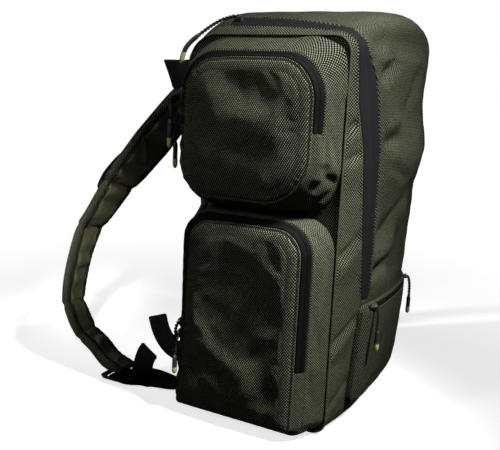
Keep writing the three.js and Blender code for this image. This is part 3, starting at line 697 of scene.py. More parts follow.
@dataclass(frozen=True)
class SmoothCloth:
    """Fine smooth nylon, with threads too small to stand out and a satin gloss."""

    name: str
    low: Colour
    high: Colour
    pitch: float = 1.1
    height: float = 0.05
    relief: float = 0.4
    cloud_scale: float = 14.0
    roughness: Pair = (0.5, 0.36)
    gloss: float = 0.5
    sheen: float = 0.12
    sheen_roughness: float = 0.4

    def make(self) -> bpy.types.Material:
        """Two fine sine waves give the threads; broad noise varies the colour.

        Returns:
            The material.
        """
        tree = Nodes(self.name)
        u, v = tree.map_parts()
        threads = tree.math("ADD", tree.wave(u, self.pitch * MM), tree.wave(v, self.pitch * MM))
        cloudy = tree.noise(self.cloud_scale, 5.0)
        colour = tree.blend(tree.span(cloudy, *CLOUD, 0.0, 1.0), full(self.low), full(self.high))
        normal = tree.raised(threads, self.height * MM, self.relief)
        rough = tree.span(cloudy, *CLOUD, *self.roughness)
        return tree.surface(Base_Color=colour, Roughness=rough, Normal=normal, Specular_IOR_Level=self.gloss,
                            Sheen_Weight=self.sheen, Sheen_Roughness=self.sheen_roughness)


@dataclass(frozen=True)
class RibbedWebbing:
    """Woven webbing or tape: ribs along it, crossed by a slanting twill."""

    name: str
    low: Colour
    high: Colour
    rib: float = 2.4
    twill: float = 1.8
    roughness: float = 0.6
    height: float = 0.25
    gloss: float = 0.3
    relief: float = 0.7
    twill_share: float = 0.8
    fluff_scale: float = 160.0
    fluff_rough: Pair = (-0.08, 0.1)

    def make(self) -> bpy.types.Material:
        """A rib wave across the width, plus a slanting wave that changes hand from rib to rib.

        Returns:
            The material.
        """
        tree = Nodes(self.name)
        u, v = tree.map_parts()
        ribs = tree.wave(u, self.rib * MM)
        hand = tree.math("SIGN", tree.wave(u, 2.0 * self.rib * MM))
        slant = tree.wave(tree.math("ADD", v, tree.math("MULTIPLY", hand, u)), self.twill * MM)
        weave = tree.math("ADD", ribs, tree.math("MULTIPLY", slant, self.twill_share))
        fluff = tree.noise(self.fluff_scale, 3.0)
        share = tree.span(tree.math("ADD", weave, fluff), -1.2, 2.2, 0.0, 1.0)
        colour = tree.blend(share, full(self.low), full(self.high))
        normal = tree.raised(weave, self.height * MM, self.relief)
        rough = tree.span(fluff, *CLOUD, *(self.roughness + more for more in self.fluff_rough))
        return tree.surface(Base_Color=colour, Roughness=rough, Normal=normal, Specular_IOR_Level=self.gloss)


@dataclass(frozen=True)
class Moulding:
    """Moulded plastic or painted metal with faint unevenness and scuffs."""

    name: str
    low: Colour
    high: Colour
    roughness: float
    gloss: float = 0.5
    grain: float = 900.0
    height: float = 0.05
    relief: float = 0.5
    scuff_scale: float = 70.0
    scuff_rough: float = 0.15

    def make(self) -> bpy.types.Material:
        """Fine noise gives the grain, broad noise the scuffs.

        Returns:
            The material.
        """
        tree = Nodes(self.name)
        grain = tree.noise(self.grain, 2.0)
        scuff = tree.noise(self.scuff_scale, 5.0)
        colour = tree.blend(tree.span(scuff, 0.4, 0.75, 0.0, 1.0), full(self.low), full(self.high))
        rough = tree.span(scuff, 0.35, 0.7, self.roughness, self.roughness + self.scuff_rough)
        normal = tree.raised(grain, self.height * MM, self.relief)
        return tree.surface(Base_Color=colour, Roughness=rough, Normal=normal, Specular_IOR_Level=self.gloss)


@dataclass(frozen=True)
class PlainFloor:
    """Matt pale floor with barely visible mottling."""

    name: str = "pale_floor"
    low: Colour = (0.86, 0.86, 0.86)
    high: Colour = (0.9, 0.9, 0.9)
    glow: Pair = (0.84, 1.15)
    reach: Pair = (0.4, 1.5)
    mottle_scale: float = 3.0
    roughness: float = 0.9
    gloss: float = 0.1

    def make(self) -> bpy.types.Material:
        """Broad noise between two near whites, with a glow that grows with the distance from the bag.

        Returns:
            The material.
        """
        tree = Nodes(self.name)
        colour = tree.blend(tree.noise(self.mottle_scale), full(self.low), full(self.high))
        place = tree.add("TexCoord").outputs["Object"]
        away = tree.add("VectorMath", {"operation": "LENGTH"}, n0=place).outputs["Value"]
        return tree.surface(Base_Color=colour, Roughness=self.roughness, Specular_IOR_Level=self.gloss,
                            Emission_Color=full(self.high),
                            Emission_Strength=tree.span(away, *self.reach, *self.glow))


class Finishes:
    """Every finish of the bag, made once."""

    def __init__(self) -> None:
        """Makes the materials."""
        ink, black, soot = (0.002, 0.002, 0.002), (0.004, 0.004, 0.0045), (0.012, 0.012, 0.013)
        olive, tape = (0.19, 0.198, 0.125), {"rib": 1.6, "twill": 1.2, "roughness": 0.7, "height": 0.12}
        # The weaves' first colours, nearly black, are painted shade in the gaps between the threads
        self.cloth = WovenCloth("basket_cloth", (0.002, 0.002, 0.0012), olive).make()
        self.welt = WovenCloth("welt_cloth", (0.004, 0.004, 0.003), olive, (1.5, 1.8)).make()
        self.lining = SmoothCloth("satin_lining", (0.062, 0.062, 0.032), (0.125, 0.123, 0.066)).make()
        self.tape = RibbedWebbing("zip_tape_cloth", black, soot, **tape, gloss=0.07).make()
        # The pocket zips get a darker copy of the zip tape: the darker tone is painted shade
        self.pocket_tape = RibbedWebbing("pocket_tape_cloth", ink, black, **tape, gloss=0.05).make()
        self.webbing = RibbedWebbing("black_webbing", ink, (0.009, 0.009, 0.01), gloss=0.16).make()
        self.lock = Moulding("gloss_black", black, soot, 0.16, grain=300.0, height=0.03).make()
        self.slider = Moulding("satin_black_metal", soot, (0.06, 0.06, 0.06), 0.3, 0.6, 500.0, 0.02).make()
        self.cord = RibbedWebbing("braided_cord", black, (0.022, 0.022, 0.022), rib=1.3, twill=1.3,
                                  height=0.2, gloss=0.2).make()
        self.grip = Moulding("rubber_grip", (0.014, 0.015, 0.015), (0.04, 0.042, 0.042), 0.42, 0.45).make()
        self.tip = Moulding("pale_tip", (0.33, 0.37, 0.13), (0.44, 0.47, 0.2), 0.36).make()


# The bag's body

@dataclass(frozen=True)
class BodyShape:
    """The body's surface: a side panel's outline carried across the bag, swelling towards the middle."""

    panel: Outline = Outline(-130, 130, 4, 590, 24, 48, 24, 22)
    half_width: float = 180.0
    swell_z: Row = (0, 60, 200, 290, 420, 560)
    swell: Row = (8, 16, 31, 40, 48, 50)
    far_tuck: Row = (20, 22, 18, 6, 0, 0)
    top_swell: float = 48.0
    back_swell: float = 14.0
    bottom_swell: float = 8.0
    far_panel_swell: float = 10.0
    near_power: float = 2.6
    far_power: float = 2.0
    back_power: float = 4.0
    bottom_power: float = 2.0
    tuck_power: float = 4.0
    corner_power: float = 0.55
    pinch: Bell = Bell(38.0, 334.0, 28.0)
    line_places: Row = (
        0, 0.33, 0.42, 0.57, 0.76, 0.88, 0.94, 1, 1.5, 2, 2.25, 2.6, 3, 6, 7, 8)
    line_outer: Row = (
        -118, -119, -128, -140, -151, -164, -166.5, -169, -169, -169, -163, -157, -157, -155, -140, -118)
    line_inner: Row = (
        -92, -94, -103, -111, -118, -129, -138, -153, -161, -158, -145, -128, -124, -124, -110, -92)
    zip_front_end: float = 204.0
    zip_back_end: float = 80.0

    def point(self, u: Array, x: Number, inset: Number = 0.0) -> Array:
        """The panel's outline moved out by the swell at x, or further in by an inset.

        The swell is a height times one less a power of the distance from the middle. At the corners it is
        shared between up and out by a power of the outline's normal.

        Args:
            u: Places round the outline.
            x: Places across the bag.
            inset: Distance inwards.

        Returns:
            Points, with a last axis of 3.
        """
        u, x, inset = np.broadcast_arrays(*(np.asarray(part, float) for part in (u, x, inset)))
        a, b, na, nb = self.panel.at(u, inset)
        side = np.minimum(np.abs(x) / self.half_width, 1.0)
        near = x < 0
        share = 1.0 - side ** np.where(near, self.near_power, self.far_power)
        drawn = side ** self.tuck_power
        swell, tuck = (np.interp(b, self.swell_z, table) for table in (self.swell, self.far_tuck))
        front = swell * share - np.where(near, 0.0, tuck * drawn)
        pinched = np.where(near, self.pinch.at(b) * drawn, 0.0)
        back = self.back_swell * (1.0 - side ** self.back_power) - pinched
        under = self.bottom_swell * (1.0 - side ** self.bottom_power)
        level = np.where(nb > 0, self.top_swell * share, under)
        y = a + np.sign(na) * np.abs(na) ** self.corner_power * np.where(na < 0, front, back)
        z = b + np.sign(nb) * np.abs(nb) ** self.corner_power * level
        return np.stack([x, y, np.maximum(z, inset)], axis=-1)

    def lines(self, u: Array) -> tuple[Array, Array]:
        """The two edges of the main zip across the bag."""
        return tuple(np.interp(u, self.line_places, line) for line in (self.line_outer, self.line_inner))

    def zip_ends(self) -> Pair:
        """Where the main zip starts on the front edge and stops on the top."""
        first, last = self.panel.front + self.panel.front_top, self.panel.back - self.panel.back_top
        return self.panel.front_place(self.zip_front_end), 2.0 + (self.zip_back_end - first) / (last - first)

    def zip_surface(self, u: Array, share: Array, sunk: Array) -> Array:
        """A point of the main zip, a share of the way from its outer edge to its inner one."""
        return self.point(u, lerp(*self.lines(u), share), sunk)

    def front_y(self, x: Array, z: Array) -> Array:
        """How far forward the front is at a place across and up it."""
        return self.point(np.clip(self.panel.front_place(z), 0.0, 1.0), x)[..., 1]


BODY = BodyShape()


@dataclass(frozen=True)
class ZipBand:
    """A zip with its coil on the inside: two woven tapes that meet in a fine stitched line."""

    surface: Surface
    first: float
    last: float
    width: float
    rounded: bool = False
    pitch: float = 2.2
    step: float = 0.55
    across: int = 19
    samples: int = 800
    least_reach: float = 0.05
    rise: float = 0.3
    thick: float = 1.5
    crown: float = 0.35
    ribs: Bell = Bell(0.22, 1.5, 0.9)
    groove: Bell = Bell(0.55, 0.0, 0.45)
    turned_edge: float = 1.4
    edge_start: float = 0.93

    def measured(self) -> tuple[Array, Array]:
        """Closely spaced places along the zip's middle, and the length at each."""
        places = np.linspace(self.first, self.last, self.samples)
        return places, run_length(self.surface(places, np.full(self.samples, 0.5), np.zeros(self.samples)))

    def reach(self, length: Array, whole: float) -> Array:
        """Share of the half width that the tape has at a length: 1, or a half circle at a rounded end."""
        near = np.clip(np.minimum(length, whole - length) / (self.width / 2.0), 0.0, 1.0)
        return np.sqrt(1.0 - (1.0 - near) ** 2) if self.rounded else np.ones_like(length)

    def patches(self) -> list[Patch]:
        """The tape as a closed sheet.

        Its height is a low crown on each half, a groove in the middle and, beside the groove, ribs that
        repeat along the zip.

        Returns:
            The top, the underside and the edges between them.
        """
        places, length = self.measured()
        even = np.arange(0.0, length[-1], self.step)
        u, length = np.interp(even, length, places), even
        reach = np.maximum(self.reach(length, length[-1]), self.least_reach)
        spread = 0.5 + (np.linspace(0.0, 1.0, self.across)[:, None] - 0.5) * reach
        off, half = np.abs(spread - 0.5) * self.width, self.width / 2.0
        crown = self.crown * (1.0 - ((2.0 * off / half) - 1.0) ** 2)
        ribs = np.cos(TAU * length / self.pitch) * self.ribs.at(off)
        edge = self.turned_edge * smooth(off / half, self.edge_start, 1.0)
        wide = np.broadcast_to(u, spread.shape)
        top = self.surface(wide, spread, self.groove.at(off) + edge - self.rise - crown - ribs)
        under = self.surface(wide, spread, np.full(spread.shape, self.thick))
        uv = joined(spread * self.width, length)
        sides = [Patch(np.stack([top[k], under[k]]), np.stack([uv[0], uv[0] + 1.0])) for k in (0, -1)]
        ends = [Patch(np.stack([top[:, k], under[:, k]]), np.stack([uv[:, 0], uv[:, 0] + 1.0]))
                for k in (0, -1)]
        return [Patch(top, uv), Patch(under, uv), *sides, *ends]

    def inside(self, along: Array, whole: float, off: Array, soft: float = 1.2) -> Array:
        """1 under the tape and 0 beside it, with soft steps, for cloth that makes room for it."""
        beside = smooth(off - self.width / 2.0 * self.reach(along, whole), -0.6 * soft, 0.6 * soft)
        return smooth(along, -soft, 0.5 * soft) * smooth(whole - along, -soft, 0.5 * soft) * (1.0 - beside)

    def length_at(self, u: Array) -> tuple[Array, float]:
        """Length along the zip at given places, running on past its ends at its mean rate.

        Args:
            u: Places along the zip.

        Returns:
            The lengths, and the zip's whole length.
        """
        places, length = self.measured()
        past = (u - np.clip(u, self.first, self.last)) / (self.last - self.first)
        return np.interp(u, places, length) + past * length[-1], float(length[-1])


MAIN_ZIP = ZipBand(BODY.zip_surface, *BODY.zip_ends(), width=33.0, rounded=True)


@dataclass(frozen=True)
class Crease:
    """A crease across the strip, or a ridge where its depth is negative, that climbs by its slope."""

    z: float
    width: float
    depth: float
    slope: float

    def dent(self, z: Array, across: Array) -> Array:
        """Bell curve in height, slanting across the strip."""
        return self.depth * bump(z + self.slope * across, self.z, self.width)


@dataclass
class Body:
    """The body's cloth: front, top, back, base and plain side, and the pocketed side with its strip."""

    step: float = 4.5
    side_step: float = 3.15
    corner: float = 7.0
    near_corner: float = 4.0
    corner_rows: int = 6
    wall: float = 3.0
    side_wall: float = 2.6
    inside: Point = (0.0, 0.0, 300.0)
    recess: float = 2.2
    lip: Bell = Bell(1.3, 2.4, 1.7)
    lip_fade: float = 4.0
    zip_side: Pair = (-3.0, 9.0)
    front_folds: tuple[Fold, ...] = (
        Fold(-30, 314, 29, 95, 26, 21), Fold(-88, 268, 20, 45, 18, -8), Fold(18, 262, 75, 55, 26, 15),
        Fold(-70, 243, 10, 60, 13, 13), Fold(-60, 590, 3, 100, 17, 12), Fold(-104, 550, 35, 26, 9, 10),
        Fold(-112, 572, 35, 22, 10, -5), Fold(-98, 446, 15, 30, 8, 6), Fold(-98, 470, 15, 30, 11, -4),
        Fold(10, 420, 10, 110, 42, -13), Fold(-70, 400, 160, 34, 9, 3), Fold(-30, 520, 50, 50, 14, 4),
        Fold(60, 430, 95, 110, 28, 7), Fold(80, 300, 70, 70, 22, 6), Fold(115, 500, 95, 70, 24, 5))
    front_ripple: Ripple = Ripple(0.5, 40.0, 5)
    body_ripple: Ripple = Ripple(1.0, 95.0, 3)
    back_share: float = 0.8
    facing: Pair = (0.3, 0.9)
    far_fade: float = 30.0
    zip_fade: Pair = (2.0, 20.0)
    far_seam: Bell = Bell(1.2, 11.0, 2.0)
    far_welt: Bell = Bell(1.4, 0.97, 0.012)
    far_welt_rings: Row = (0.985, 0.97, 0.955)
    far_ripple: Ripple = Ripple(1.2, 120.0, 9)
    front_weave: Pair = (1.2, 1.13)
    strip_weave: Pair = (0.95, 1.15)
    front_map_row: int = 30
    strip_map_row: int = 9
    strip_creases: tuple[Crease, ...] = (
        Crease(538, 6, 2.2, 0.5), Crease(478, 6, 4.0, 0.9), Crease(463, 9, -2.6, 0.8),
        Crease(432, 6, 3.8, 0.5), Crease(418, 9, -2.4, 0.6), Crease(372, 11, 1.8, 0.2),
        Crease(312, 7, 4.2, 0.8), Crease(293, 11, -2.8, 0.9), Crease(240, 10, 1.6, 0.3),
        Crease(183, 7, 3.8, 0.7), Crease(166, 9, -2.4, 0.7), Crease(120, 11, 1.6, 0.2),
        Crease(76, 7, 3.2, 0.6))
    strip_ripple: Ripple = Ripple(0.8, 46.0, 12)
    strip_edge: float = 0.34
    highest_ridge: float = 2.6
    welt_radius: float = 1.7
    welt_step: float = 3.0
    welt_sides: int = 14
    welt_waves: tuple[Pair, ...] = ((0.1, 23.0), (0.05, 7.0))

    def zip_room(self, u: Array, x: Array) -> Array:
        """How far the cloth steps down under the main zip, with a rolled lip beside it.

        Args:
            u: Places round the body.
            x: Places across it.

        Returns:
            Depths.
        """
        outer, inner = BODY.lines(u)
        off = np.abs(x - (outer + inner) / 2.0) * MAIN_ZIP.width / (inner - outer)
        along, whole = MAIN_ZIP.length_at(u)
        half = MAIN_ZIP.width / 2.0 * MAIN_ZIP.reach(along, whole)
        fade = -self.lip_fade, self.lip_fade
        there = smooth(along, *fade) * smooth(whole - along, *fade)
        return self.recess * MAIN_ZIP.inside(along, whole, off) - self.lip.at(off - half) * there

    def bend(self, u: Array, end: float, radius: float) -> tuple[Array, Array]:
        """The corner between the body and a side, a quarter circle: points, and places across laid flat."""
        turn = np.sign(end) * np.linspace(0.0, QUARTER, self.corner_rows + 1)[1:, None] * np.ones(len(u))
        return BODY.point(u, end + radius * np.sin(turn), radius * (1.0 - np.cos(turn))), end + radius * turn

    def main_cloth(self) -> Piece:
        """Rows across the bag from the zip's outer line to the far side, rounded into the plain side panel.

        Each row is the body's surface, lowered by folds, ripples and the room for the zip.

        Returns:
            The piece.
        """
        u = BODY.panel.places(self.step)
        outer, inner = BODY.lines(u)
        end = BODY.half_width - self.corner
        tucked, beside = (inner + off for off in self.zip_side)
        rows = np.concatenate([lerp(outer + GAP, tucked, np.linspace(0, 1, 7)[:, None]),
                               lerp(tucked, beside, np.linspace(0, 1, 13)[1:, None]),
                               lerp(beside, end, np.linspace(0, 1, 58)[1:, None])])
        flat = BODY.point(u, rows)
        y, z = flat[..., 1], flat[..., 2]
        _, _, na, nb = BODY.panel.at(u)
        front, top, back = (smooth(part, *self.facing) for part in (-na, nb, na))
        dent = front * (dents(self.front_folds, rows, z) + self.front_ripple.at(rows, z))
        dent = dent + (front + top + self.back_share * back) * self.body_ripple.at(rows, z + y)
        held = smooth(BODY.half_width - rows, 0.0, self.far_fade) * smooth(rows - inner, *self.zip_fade)
        sunk = dent * held + self.zip_room(u, rows) + self.far_seam.at(BODY.half_width - rows)
        bend, bend_x = self.bend(u, end, self.corner)
        share = np.concatenate([self.far_welt_rings, np.linspace(0.93, 0.0, 20)])[:, None]
        centre = np.array([0.0, 0.0, (BODY.panel.top + BODY.panel.bottom) / 2])
        far = centre + share[..., None] * (bend[-1] - centre)
        far[..., 0] = (BODY.half_width + BODY.far_panel_swell * (1.0 - share ** 2) - self.far_welt.at(share)
                       + (1.0 - share ** 4) * self.far_ripple.at(far[..., 1], far[..., 2]))
        far = np.concatenate([bend[-1:], far])
        strip = np.concatenate([BODY.point(u, rows, sunk), bend])
        around = loop_length(flat[self.front_map_row])
        uv = joined(wrap(np.concatenate([rows, bend_x])), around) * self.front_weave
        return new_mesh("body_cloth", [Patch(strip, uv, True), Patch(far, wrap(far)[..., 1:], True)],
                        self.inside, self.wall)

    def side_cloth(self) -> Piece:
        """The strip from the zip round the corner, creased across, and the flat panel behind the pockets.

        Returns:
            The piece.
        """
        u = BODY.panel.places(self.side_step)
        outer, _ = BODY.lines(u)
        end = self.near_corner - BODY.half_width
        edge = self.strip_edge
        share = np.concatenate([np.linspace(0.0, edge, 10), np.linspace(edge, 1.0, 20)[1:]])
        rows = lerp(outer, end, share[:, None])
        flat = BODY.point(u, rows)
        upright = smooth(np.abs(BODY.panel.at(u)[2]), 0.5, 0.95)
        creased = sum(crease.dent(flat[..., 2], outer - rows) for crease in self.strip_creases)
        held = smooth(outer - rows, 2.0, 8.0) * smooth(rows - end, -4.0, 5.0)
        dent = held * (upright * creased + self.strip_ripple.at(flat[..., 1], flat[..., 2]))
        cloth = BODY.point(u, rows, np.maximum(dent, -self.highest_ridge) + self.zip_room(u, rows))
        bend, bend_x = self.bend(u, end, self.near_corner)
        centre = np.array([-BODY.half_width, 0.0, (BODY.panel.top + BODY.panel.bottom) / 2])
        panel = centre + np.linspace(1.0, 0.0, 22)[:, None, None] * (bend[-1] - centre)
        strip = np.concatenate([cloth, bend])
        around = loop_length(flat[self.strip_map_row])
        uv = joined(wrap(np.concatenate([rows, bend_x])), around) * self.strip_weave
        return new_mesh("side_cloth", [Patch(strip, uv, True), Patch(panel, wrap(panel)[..., 1:], True)],
                        self.inside, self.side_wall)

    def welt(self) -> Piece:
        """A rounded welt just outside the side panel's corner: circles round the outline, slightly uneven.

        Returns:
            The piece.
        """
        u = BODY.panel.places(self.welt_step)
        _, _, na, nb = BODY.panel.at(u)
        slack = self.near_corner * (1.0 - np.sqrt(0.5)) - (self.welt_radius + GAP) * np.sqrt(0.5)
        centre = BODY.point(u, slack - BODY.half_width, slack)
        centre[:, 2] = np.maximum(centre[:, 2], self.welt_radius + GAP)
        length = loop_length(centre)
        uneven = sum(size * np.cos(TAU * length[:-1] / wave) for size, wave in self.welt_waves)
        radius = (self.welt_radius * (1.0 + uneven))[:, None]
        angle = (np.arange(self.welt_sides + 1) % self.welt_sides * TAU / self.welt_sides)[:, None, None]
        out = np.cos(angle) * joined(0.0, na, nb) + np.sin(angle) * np.array([1.0, 0.0, 0.0])
        ring = centre + radius * out
        turn = np.linspace(0.0, TAU * self.welt_radius, self.welt_sides + 1)
        return new_mesh("side_welt", [Patch(ring, joined(length, turn[:, None]), True)])

    def build(self, finish: Finishes) -> None:
        """Makes and dresses the cloth, the welt and the main zip.

        Args:
            finish: The finishes.
        """
        place_piece(self.main_cloth(), [finish.cloth], ["main_shell"])
        place_piece(self.side_cloth(), [finish.cloth], ["side_panel"])
        place_piece(self.welt(), [finish.welt], ["side_piping"])
        band = new_mesh("main_zip_band", MAIN_ZIP.patches())
        place_piece(band, [finish.tape], ["main_zip"])


# Sliders and pulls

@dataclass(frozen=True)
class Seat:
    """A place on a zip with the way along it and the way out of the cloth."""

    at: Array
    along: Array
    out: Array

    @classmethod
    def on(cls, surface: Surface, u: float, step: float, sunk: float, towards: Array) -> "Seat":
        """The seat in the middle of a zip at a place, from differences of its surface.

        Args:
            surface: The zip's surface.
            u: Place along the zip.
            step: Difference in place.
            sunk: Depth below the cloth.
            towards: A direction on the outer side.

        Returns:
            The seat.
        """
        places = np.array([u, u + step, u - step, u, u])
        shares = np.array([0.5, 0.5, 0.5, 0.8, 0.2])
        middle, after, before, high, low = surface(places, shares, np.full(5, sunk))
        along = unit(after - before)
        out = unit(np.cross(along, high - low))
        out = out * np.sign(out @ np.asarray(towards, float))
        return cls(middle, unit(along - (along @ out) * out), out)

    def lifted(self, height: float) -> "Seat":
        """The seat moved out of the cloth."""
        return Seat(self.at + height * self.out, self.along, self.out)

    def place(self, local: Array) -> Array:
        """Points given across, along and out of the seat."""
        side = np.cross(self.along, self.out)
        return self.at + local[..., :1] * side + local[..., 1:2] * self.along + local[..., 2:] * self.out


@dataclass(frozen=True)
class Slider:
    """A zip slider: two teardrop plates with a waist between them, and a bridge that carries the pull.

    Each ring is a share of the height and a scale of the teardrop.
    """

    length: float = 15.0
    width: float = 10.0
    tail: float = 6.0
    height: float = 5.0
    points: int = 36
    squareness: float = 0.55
    rings: tuple[Pair, ...] = (
        (0.0, 0.88), (0.06, 0.97), (0.18, 1.0), (0.32, 0.98), (0.38, 0.84), (0.54, 0.84), (0.6, 0.98),
        (0.76, 1.0), (0.9, 0.96), (0.98, 0.86), (1.0, 0.7))
    bridge: float = 2.6
    bridge_reach: float = 4.6
    bridge_back: float = 0.5
    bridge_sunk: float = 0.6
    bridge_width: float = 3.4
    bridge_thick: float = 1.3
    bridge_steps: int = 13

    def outline(self) -> Array:
        """A teardrop: half width as a smooth step from the tail to the shoulders, closed by round ends.

        Returns:
            Places across and along.
        """
        angle = np.arange(self.points) * TAU / self.points
        y = np.sin(angle) * self.length / 2
        half = lerp(self.tail / 2, self.width / 2, smooth(y, -self.length / 3, self.length / 5))
        return joined(np.sign(np.cos(angle)) * np.abs(np.cos(angle)) ** self.squareness * half, y)

    def build(self, name: str, seat: Seat) -> Piece:
        """Stacks the outline at heights with a rounded rim and a waist, and arches the bridge over it.

        Args:
            name: Name of the piece.
            seat: Where it sits.

        Returns:
            The piece.
        """
        across, along = self.outline().T
        share, scale = np.array(self.rings).T[..., None]
        loops = joined(across * scale, along * scale, share * self.height)
        body = loop_patch(seat.place(loops), share[:, 0] * self.height)
        count = self.bridge_steps
        way = np.linspace(0.0, np.pi, count)
        arch = joined(0.0, self.bridge_reach * np.cos(way) - self.bridge_back,
                      self.height - self.bridge_sunk + (self.bridge + self.bridge_sunk) * np.sin(way))
        ahead = unit(np.gradient(arch, axis=0))
        side = np.broadcast_to([1.0, 0.0, 0.0], arch.shape)
        a, b = stadium(self.bridge_width / 2, self.bridge_thick / 2, 3, 3)
        strap = Track(arch, ahead, side, np.cross(ahead, side), np.zeros((count, 0))).place(a, b)
        return new_mesh(name, [body, loop_patch(seat.place(strap), run_length(arch))])


@dataclass(frozen=True)
class Pull:
    """A zip pull: two cords twisted together, then a moulded grip with rings and a pale rounded tip."""

    cord_end: float = 0.54
    tip_start: float = 0.86
    cord: float = 1.5
    cord_fade: float = 2.5
    lay: float = 11.0
    grip: float = 4.1
    grip_flat: float = 0.86
    neck: float = 0.62
    rings: float = 7.0
    ring_height: float = 0.22
    tip: float = 4.223
    tip_flat: float = 0.9
    tip_round: float = 0.45
    steps: int = 30
    across: Point = (1.0, 0.2, 0.1)

    def build(self, name: str, stations: Array) -> Piece:
        """Carries the cords and the grip along a route.

        A cord is a tube on a helix of one cord's radius. The grip's radius swells over rounded ends and
        rises a little at each of its rings.

        Args:
            name: Name of the piece.
            stations: Points of the route.

        Returns:
            The piece.
        """
        track = Track.through(stations, self.steps, np.array(self.across))
        length = track.length()
        first, last = np.searchsorted(length / length[-1], (self.cord_end, self.tip_start))
        cuts = (0, first + 2), (first - 1, last), (last - 2, len(length))
        rope, grip, tip = (track.part(*ends) for ends in cuts)
        run = rope.length()
        spread = self.cord * smooth(run, 0.0, self.cord_fade)
        patches = []
        for turn in (0.0, np.pi):
            angle = TAU * run / self.lay + turn
            a, b = (spread * np.cos(angle))[:, None], (spread * np.sin(angle))[:, None]
            middle = rope.at + a * rope.side + b * rope.face
            patches.append(tube(middle, rope.side, rope.face, self.cord, 8, 0))
        t = np.linspace(0.0, 1.0, len(grip.at))
        ringed = self.ring_height * np.cos(TAU * t * self.rings) * smooth(t, 0.12, 0.3)
        radius = self.grip * lerp(self.neck, 1.0, smooth(t, 0.0, 0.16)) + ringed
        patches.append(tube(grip.at, grip.side, grip.face * self.grip_flat, radius, 16, 1))
        t = np.linspace(0.0, 1.0, len(tip.at))
        past = np.clip((t - self.tip_round) / (1.0 - self.tip_round), 0.0, 1.0)
        radius = self.tip * np.sqrt(np.clip(1.0 - past ** 2, 0.02, 1.0))
        patches.append(tube(tip.at, tip.side, tip.face * self.tip_flat, radius, 16, 2))
        return new_mesh(name, patches)


PLAIN_SLIDER = Slider()
MAIN_SLIDER = Slider(bridge=4.5)


def fit_slider(name: str, suffix: str, slider: Slider, seat: Seat, route: Sequence[Sequence[float]],
               finish: Finishes) -> None:
    """Makes and dresses a slider on its zip, and the pull that hangs from it.

    Args:
        name: Name of the zip.
        suffix: Tells the sliders of one zip apart.
        slider: The slider.
        seat: Where it sits.
        route: Points of the pull.
        finish: The finishes.
    """
    body = slider.build(f"{name}_slider{suffix}", seat.lifted(GAP))
    place_piece(body, [finish.slider], [f"{name}_zip_slider{suffix}"])
    pull = Pull().build(f"{name}_pull{suffix}", np.array(route, float))
    place_piece(pull, [finish.cord, finish.grip, finish.tip], [f"{name}_zip_pull{suffix}"])


@dataclass(frozen=True)
class MainSlider:
    """The main zip's slider on the top, with its pull over the back corner."""

    place: float = 2.93
    step: float = 0.05
    sunk: float = -0.7
    route: tuple[Point, ...] = (
        (-142, 74.5, 620.9), (-153, 93, 613), (-171, 114, 594), (-184, 134, 571), (-187, 142, 546))

    def build(self, finish: Finishes) -> None:
        """Seats the slider on the main zip and dresses it."""
        seat = Seat.on(BODY.zip_surface, self.place, self.step, self.sunk, (0.0, 0.0, 1.0))
        fit_slider("main", "", MAIN_SLIDER, seat, self.route, finish)


# Pockets

def profile(section: Sequence[Pair], depth: float, per_span: int) -> tuple[Array, Array, Array]:
    """A smooth curve through a pocket's section: distances out, insets, and lengths along it."""
    line, _, _ = curve(np.array([(out * depth, inset, 0.0) for out, inset in section]), per_span)
    return line[:, 0], line[:, 1], run_length(line)


@dataclass(frozen=True)
class PullRow:
    """One slider of a side pocket: its height, and how long its pull is, swings back and stands off."""

    suffix: str
    z: float
    drop: float
    swing: float
    stand: float


